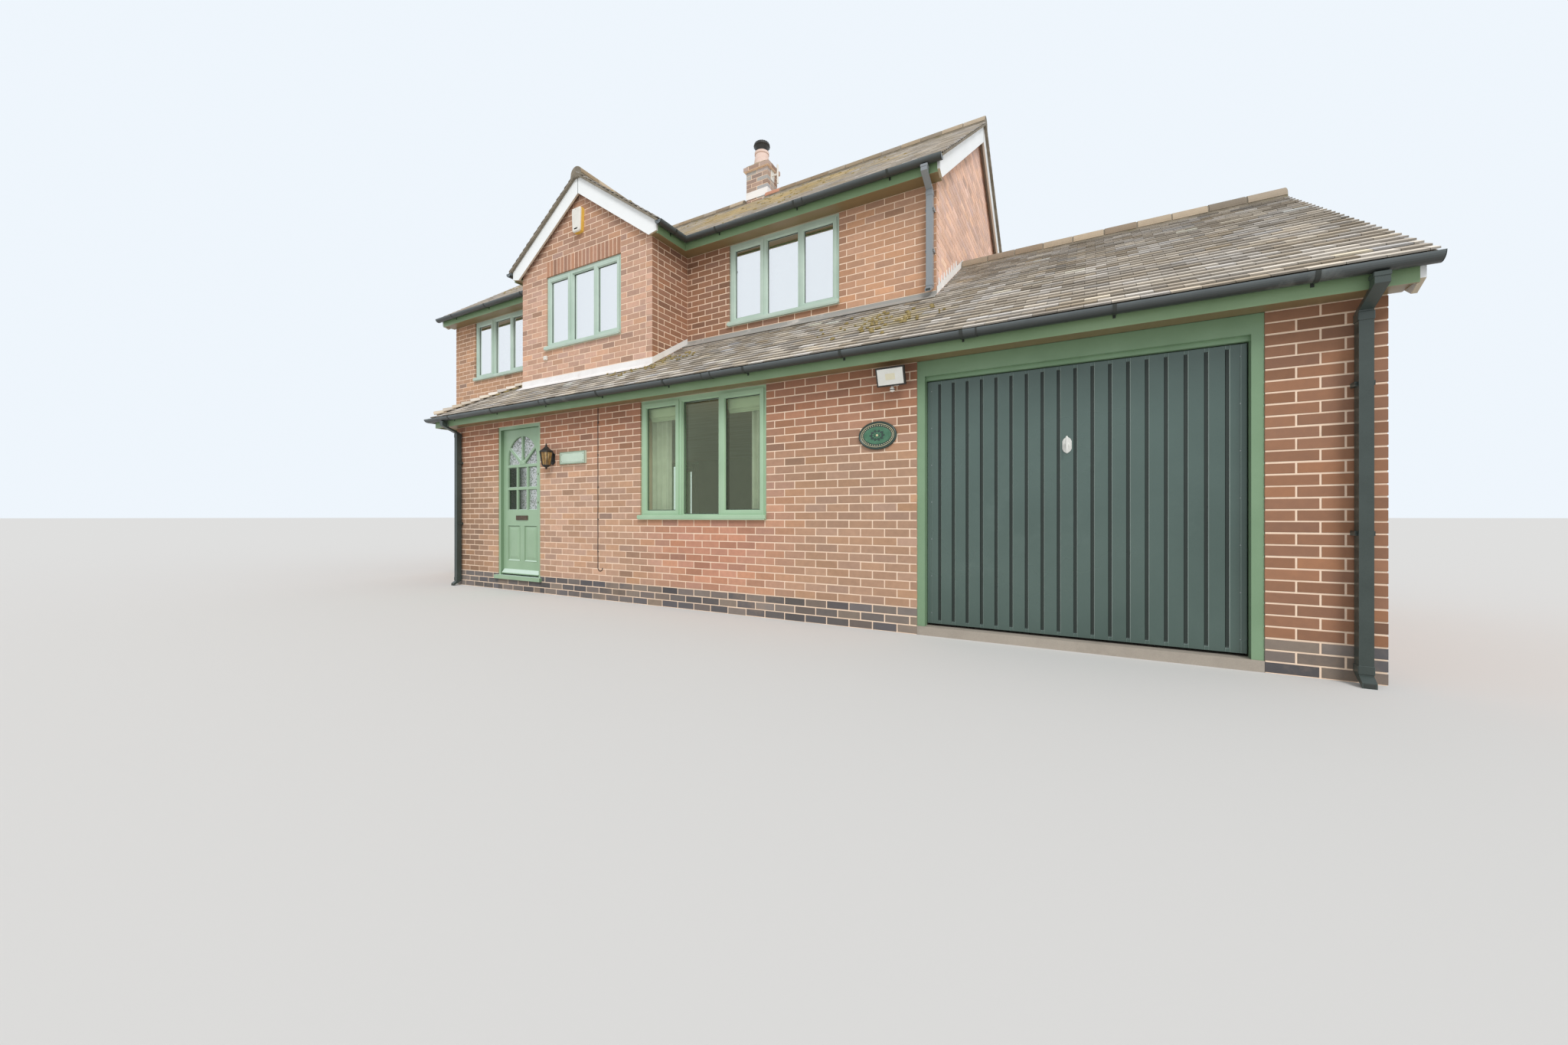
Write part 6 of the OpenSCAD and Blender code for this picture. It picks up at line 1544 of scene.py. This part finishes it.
handle = Pile(CHROME, BLACK)
HANDLE_X, HANDLE_Z = 8050, 1550
plate = both_sides([(0, -64), (13, -56), (24, -46), (32, -28), (32, 28), (24, 46), (13, 56), (0, 64)])
handle.prism(front_window(HANDLE_X, PANEL_Y, HANDLE_Z), plate, -6, 0, edge=2.5)
handle.stud(HANDLE_X, PANEL_Y - 6, HANDLE_Z, [(20, 0), (20, 3), (14, 7), (11, 9), (10, 30)], 0, 20)
lower = [(-64, 4, 3), (-60, 7.5, 5), (-30, 8.5, 6)]
grip = []
for z, half, deep in [*lower, (0, 9, 6), *((-z, half, deep) for z, half, deep in reversed(lower))]:
    grip.append([metres(HANDLE_X + half * c, PANEL_Y - 40 + deep * s, HANDLE_Z + z) for c, s in circle(12)])
handle.loft(grip)
handle.stud(HANDLE_X, PANEL_Y - 5.5, HANDLE_Z - 38, [(6, 0), (6, 1.6), (4, 2)], 1, 12)
for z in (-52, 52):
    handle.stud(HANDLE_X, PANEL_Y - 5.5, HANDLE_Z + z, [(4, 0), (4, 1), (2, 2)], 1, 10)
handle.make("garage_door_t_handle", "garage_panel", "zinc_steel", ["garage_door_handle"], True, outwards=True)

# Wall lantern: a shaped plate, a bent arm, six amber panes in bars, a flared roof and a finial

LANTERN_X, LANTERN_Z, LANTERN_OUT = 2185, 1610, 100
lantern = Pile(BLACK, AMBER)
on_wall = front_window(LANTERN_X, 0, LANTERN_Z)
back = both_sides([(0, 60), (16, 68), (28, 82), (45, 96), (38, 145), (45, 194), (28, 208), (16, 222),
                   (0, 230)])
lantern.prism(on_wall, back, -11, 0, edge=3)
lantern.prism(on_wall, shrink(back, 14), -15, -10, edge=2.5)
arm = [(0, -12, 219), (0, -45, 223), (0, -75, 224), (0, -LANTERN_OUT, 222)]
scroll = [(0, -12, 118), (0, -32, 108), (0, -46, 122), (0, -44, 146), (0, -36, 160), (0, -42, 182),
          (0, -62, 208)]
for path, radius in ((arm, 8), (scroll, 5)):
    lantern.tube([(LANTERN_X + x, y, LANTERN_Z + z) for x, y, z in path], radius, 0, 10)
middle = (LANTERN_X, -LANTERN_OUT, LANTERN_Z)
drop = [(3, 0), (11, 3), (14, 9), (10, 15), (8, 18), (20, 26), (38, 36), (44, 42), (40, 48)]
hood = [(80, 222), (90, 226), (88, 231), (66, 246), (44, 262), (28, 278), (18, 290)]
finial = [(17, 286), (18, 292), (9, 298), (13, 305), (13, 310), (7, 316), (9, 322), (3, 330)]
lantern.turn(middle, drop, 0, 20)
SIX = radians(30)
lantern.turn(middle, [(47, 44), (56, 44), (58, 49), (56, 54), (47, 54), (47, 44)], 0, 6, begin=SIX)
lantern.turn(middle, [(49, 50), (78, 222)], 1, 6, begin=SIX)
lantern.turn(middle, [(76, 214), (86, 214), (88, 220), (86, 226), (76, 226), (76, 214)], 0, 6, begin=SIX)
for k in range(6):
    corner = tau * k / 6 + SIX
    for a, low, high, radius, sides in (
        (corner, (53, 46), (83, 222), 4.2, 8), (corner + tau / 12, (44, 50), (70, 220), 1.8, 6),
    ):
        bar = [(LANTERN_X + r * cos(a), -LANTERN_OUT + r * sin(a), LANTERN_Z + z) for r, z in (low, high)]
        lantern.tube(bar, radius, 0, sides)
lantern.turn(middle, hood, 0, 6, begin=SIX)
lantern.turn(middle, finial, 0, 16)
lantern.make("wall_lantern_with_amber_panes", slot="black_metal", replaced=["wall_lantern"], outwards=True)

# Name plate: a raised rim, a fine inner line and four screws on the bare board

board = Pile(RIM_SAGE, BRONZE)
BOARD_X0, BOARD_X1, BOARD_Z0, BOARD_Z1, BOARD_Y = 2345, 2815, 1667.5, 1822.5, -24.5
rim_profile = [(0, BOARD_Y), (0.5, -28), (7, -29), (11, -27), (12, BOARD_Y)]
line_profile = [(22, BOARD_Y), (22, -26), (25, -26), (25, BOARD_Y)]
for profile in (rim_profile, line_profile):
    board.moulding(metres, BOARD_X0, BOARD_X1, BOARD_Z0, BOARD_Z1, profile)
for x in (BOARD_X0 + 38, BOARD_X1 - 38):
    for z in (BOARD_Z0 + 38, BOARD_Z1 - 38):
        board.stud(x, BOARD_Y, z, [(4.5, 0), (4.5, 1.4), (2.5, 2.6)], 1, 12)
board.make("name_plate_rim", slot="sage_timber", outwards=True)

# Oval plaque: a moulded rim, a beaded line and a plain rosette

OVAL_X, OVAL_Z, OVAL_W, OVAL_H = 6570, 1723, 350, 250
oval = Pile(PLAQUE, LEAF_GREEN, CREAM)


def ellipses(profile, look=0, caps=True):
    rings = [[metres(x, depth, z) for x, z in ellipse(inset, 64)] for inset, depth in profile]
    oval.loft(rings, look, caps=caps)


def ellipse(inset, sides):
    half_x, half_z = OVAL_W / 2 - inset, OVAL_H / 2 - inset
    return [(OVAL_X + half_x * c, OVAL_Z + half_z * s) for c, s in circle(sides)]


ellipses([(0, 0), (0, -14), (3, -19), (9, -22), (15, -20), (18, -16), (20, -15)])
ellipses([(21, -14.5), (21.5, -17.5), (25, -17.5), (25.5, -14.5), (21, -14.5)], 2, caps=False)
ellipses([(48, -14.5), (49, -17), (52, -18.5), (56, -18.5)], 1)
for x, z in ellipse(37, 40):
    oval.stud(x, -14.5, z, [(5, 0), (4.6, 2), (3, 3.8), (0.8, 4.6)], 2, 8)
for ring, (petals, reach, broad, proud) in enumerate(((10, 58, 13, 3.0), (10, 38, 10, 5.0))):
    for k in range(petals):
        a = tau * (k + 0.5 * ring) / petals
        c, s = cos(a), sin(a)
        petal = [(8, 0), (reach * 0.45, -broad), (reach * 0.8, -broad * 0.8), (reach, 0),
                 (reach * 0.8, broad * 0.8), (reach * 0.45, broad)]
        outline = [(OVAL_X + p * c * 1.25 - q * s, OVAL_Z + p * s * 0.9 + q * c) for p, q in petal]
        oval.prism(metres, outline, -18.4 - proud, -18, ring, edge=1.2)
oval.stud(OVAL_X, -18, OVAL_Z, [(11, 0), (11, 4), (8, 7), (3, 8.5)], 2, 20)
oval.make("oval_plaque_with_rosette", slot="plaque_metal", replaced=["oval_plaque"], smooth=True,
          outwards=True)

# Floodlight: a dark finned housing with a pale lamp face, an arm, a box on the wall and a sensor

FLOOD_X, FLOOD_Z, FLOOD_OUT, FLOOD_W, FLOOD_H, FLOOD_T, FLOOD_LEAN = 6730, 2210, 95, 250, 160, 50, 20
flood = Pile(BLACK, LAMP_FACE, LAMP_CHIP, PLASTIC, RUBBER)
half_w, half_h = FLOOD_W / 2, FLOOD_H / 2
flood.box(FLOOD_X - 35, FLOOD_X + 35, -25, 0, FLOOD_Z - 70, FLOOD_Z + 35, 3, edge=4)
flood.box(FLOOD_X - 12, FLOOD_X + 12, -FLOOD_OUT - 4, -22, FLOOD_Z - 24, FLOOD_Z, 0, edge=2)
since = len(flood.points)
face_y = -FLOOD_OUT - FLOOD_T
for half_x, half_z, y0, y1, look, edge in (
    (half_w, half_h, 1, FLOOD_T - 14, 0, 3), (half_w - 13, half_h - 13, 0, 3, 1, 1), (42, 26, -0.8, 2, 2, 1),
):
    flood.box(FLOOD_X - half_x, FLOOD_X + half_x, face_y + y0, face_y + y1, FLOOD_Z - half_z, FLOOD_Z + half_z,
              look, edge=edge)
for i in range(15):
    x = FLOOD_X - half_w + 18 + i * (FLOOD_W - 36) / 14
    flood.box(x - 1.5, x + 1.5, -FLOOD_OUT - 16, -FLOOD_OUT, FLOOD_Z - half_h + 10, FLOOD_Z + half_h - 10, 0)
flood.swing(since, (FLOOD_X, -FLOOD_OUT, FLOOD_Z), FLOOD_LEAN)
sensor = (FLOOD_X, -FLOOD_OUT + 12, FLOOD_Z - 115)
flood.turn(sensor, [(10, 8), (11, 22), (9, 34), (9, 60)], 3, 16)
ball = [(22 * s, -22 * c) for c, s in half_circle(12)]
ball[0], ball[-1] = (1.5, -21.9), (1.5, 21.9)
flood.turn(sensor, ball, 3, 20)
flood.turn(sensor, [(22.3, -5), (22.8, -3), (22.8, 1), (22.3, 3)], 0, 20)
flood.make("floodlight_with_sensor", slot="white_plastic", replaced=["floodlight"], outwards=True)

# Alarm box and junction box on the bay

boxes = Pile(PLASTIC, YELLOW, GASKET)
ALARM_X, ALARM_Z, ALARM_W, ALARM_H = 2147.5, BAY_RIDGE_Z - 640, 180, 330
on_bay = front_window(ALARM_X, BAY_Y, ALARM_Z)


def shield(inset):
    """The outline of the alarm box: flat head, cut corners and a slightly narrower foot."""
    w, h = ALARM_W / 2 - inset, ALARM_H / 2 - inset
    return both_sides([(0, -h), (w * 0.62, -h), (w * 0.84, -h + 16), (w, h - 30), (w - 14, h), (0, h)])


back_case = [(0, 0), (0, -44), (2, -46)]
cover = [(3, -45), (2, -47), (3, -60), (9, -67), (16, -70)]
for look, profile in ((1, back_case), (0, cover)):
    boxes.loft([[on_bay(u, d, z) for u, z in shield(i)] for i, d in profile], look)
boxes.prism(on_bay, [(-30, -132), (30, -132), (36, -112), (-36, -112)], -70, -66, 1, edge=1)
boxes.stud(ALARM_X, BAY_Y - 68, ALARM_Z + 138, [(5, 0), (5, 2), (3, 3)], 2, 12)
JUNCTION_X, JUNCTION_Z = 1445, BAY_WIN_Z - COURSE
for inset, y0, y1, edge in ((0, 30, 0, 4), (4, 35, 29, 2.5)):
    half = 30 - inset
    boxes.box(JUNCTION_X - half, JUNCTION_X + half, BAY_Y - y0, BAY_Y - y1, JUNCTION_Z - 60 + inset,
              JUNCTION_Z - inset, 0, edge=edge)
boxes.stud(JUNCTION_X, BAY_Y - 34.5, JUNCTION_Z - 30, [(4, 0), (4, 1), (2, 1.8)], 2, 10)
boxes.make("alarm_and_junction_boxes", slot="alarm_plastic", replaced=["wall_boxes"], outwards=True)

# The cable that hangs down the front wall to a hooked end, and its clips

CABLE_X, CABLE_Y, CABLE_FOOT, CABLE_R, HOOK_R = 3020, -5, 345, 4, 40
turn_z = CABLE_FOOT + HOOK_R + 4
cable = [(CABLE_X + 1.2 * sin(i * 1.9), CABLE_Y, LOW_SOFFIT - (LOW_SOFFIT - CABLE_FOOT - HOOK_R - 4) * i / 18)
         for i in range(19)]
cable[0], cable[-1] = (CABLE_X, CABLE_Y, LOW_SOFFIT), (CABLE_X, CABLE_Y, turn_z)
for i in range(1, 10):
    a = radians(20 * i)
    cable.append((CABLE_X + HOOK_R - HOOK_R * cos(a), CABLE_Y, turn_z - HOOK_R * sin(a)))
cord = Pile(RUBBER)
cord.tube(cable, CABLE_R, 0, 10)
wall_cord = cord.make("hanging_wall_cable", slot="cable_sheath", replaced=["wall_cable"], smooth=True,
                      outwards=True)
clips = Pile(RUBBER, ZINC)
for i in range(5):
    z = LOW_SOFFIT - 180 - i * 390
    clips.box(CABLE_X - 7, CABLE_X + 12, -10.5, 0, z - 5, z + 5, 0, edge=1.5)
    clips.stud(CABLE_X + 8.5, -10, z, [(2.6, 0), (2.6, 0.8), (1.2, 1.6)], 1)
clips = clips.make("wall_cable_clips", slot="cable_sheath", outwards=True)
metres(*cable[0])
length_of(cable) / 1000
[metres(*p) for p in cable]

# Camera, light and floor

camera = bpy.data.objects.new("camera", bpy.data.cameras.new("camera"))
bpy.context.collection.objects.link(camera)
camera.location = (3.333, -8.0255, 1.005)
camera.rotation_euler = (radians(90), 0, radians(29.7))
PHOTO_W, FOCAL_PIXELS, HORIZON_SHIFT = 2048, 701, -7.5
camera.data.sensor_width = 36
camera.data.lens = 36 * FOCAL_PIXELS / PHOTO_W
camera.data.shift_y = HORIZON_SHIFT / PHOTO_W
camera.data.clip_end = 2000
bpy.context.scene.camera = camera

world = bpy.data.worlds.new("world")
bpy.context.scene.world = world
world.use_nodes = True
tree = world.node_tree
tree.nodes.clear()
paths = node(tree, "LightPath").outputs
seen = reckon(tree, "MAXIMUM", paths["Is Camera Ray"], paths["Is Glossy Ray"])
seen = reckon(tree, "MAXIMUM", seen, paths["Is Transmission Ray"])
lit = node(tree, "Background", {"Color": (0.95, 0.97, 1.0, 1), "Strength": 0.7}).outputs[0]
shown = node(tree, "Background", {"Color": (0.86, 0.92, 0.98, 1), "Strength": 1.0}).outputs[0]
both = node(tree, "MixShader", {0: seen, 1: lit, 2: shown}).outputs[0]
node(tree, "OutputWorld", {"Surface": both})

lamp = bpy.data.lights.new("key_light", "SUN")
lamp.energy = 1.7
lamp.angle = radians(25)
key_light = bpy.data.objects.new("key_light", lamp)
bpy.context.collection.objects.link(key_light)
key_light.rotation_euler = [radians(a) for a in (48, 0, 42)]

FLOOR_HALF = 600
floor_made, floor_tree = start("studio_floor")
end(floor_tree, node(floor_tree, "BsdfDiffuse", {"Color": (0.72, 0.71, 0.69, 1)}).outputs[0])
floor_mesh = bpy.data.meshes.new("floor")
corners = [(-FLOOR_HALF, -FLOOR_HALF, 0), (FLOOR_HALF, -FLOOR_HALF, 0), (FLOOR_HALF, FLOOR_HALF, 0),
           (-FLOOR_HALF, FLOOR_HALF, 0)]
floor_mesh.from_pydata(corners, [], [(0, 1, 2, 3)])
floor_mesh.materials.append(floor_made)
floor = bpy.data.objects.new("floor", floor_mesh)
bpy.context.collection.objects.link(floor)

bpy.context.scene.view_settings.view_transform = "Standard"
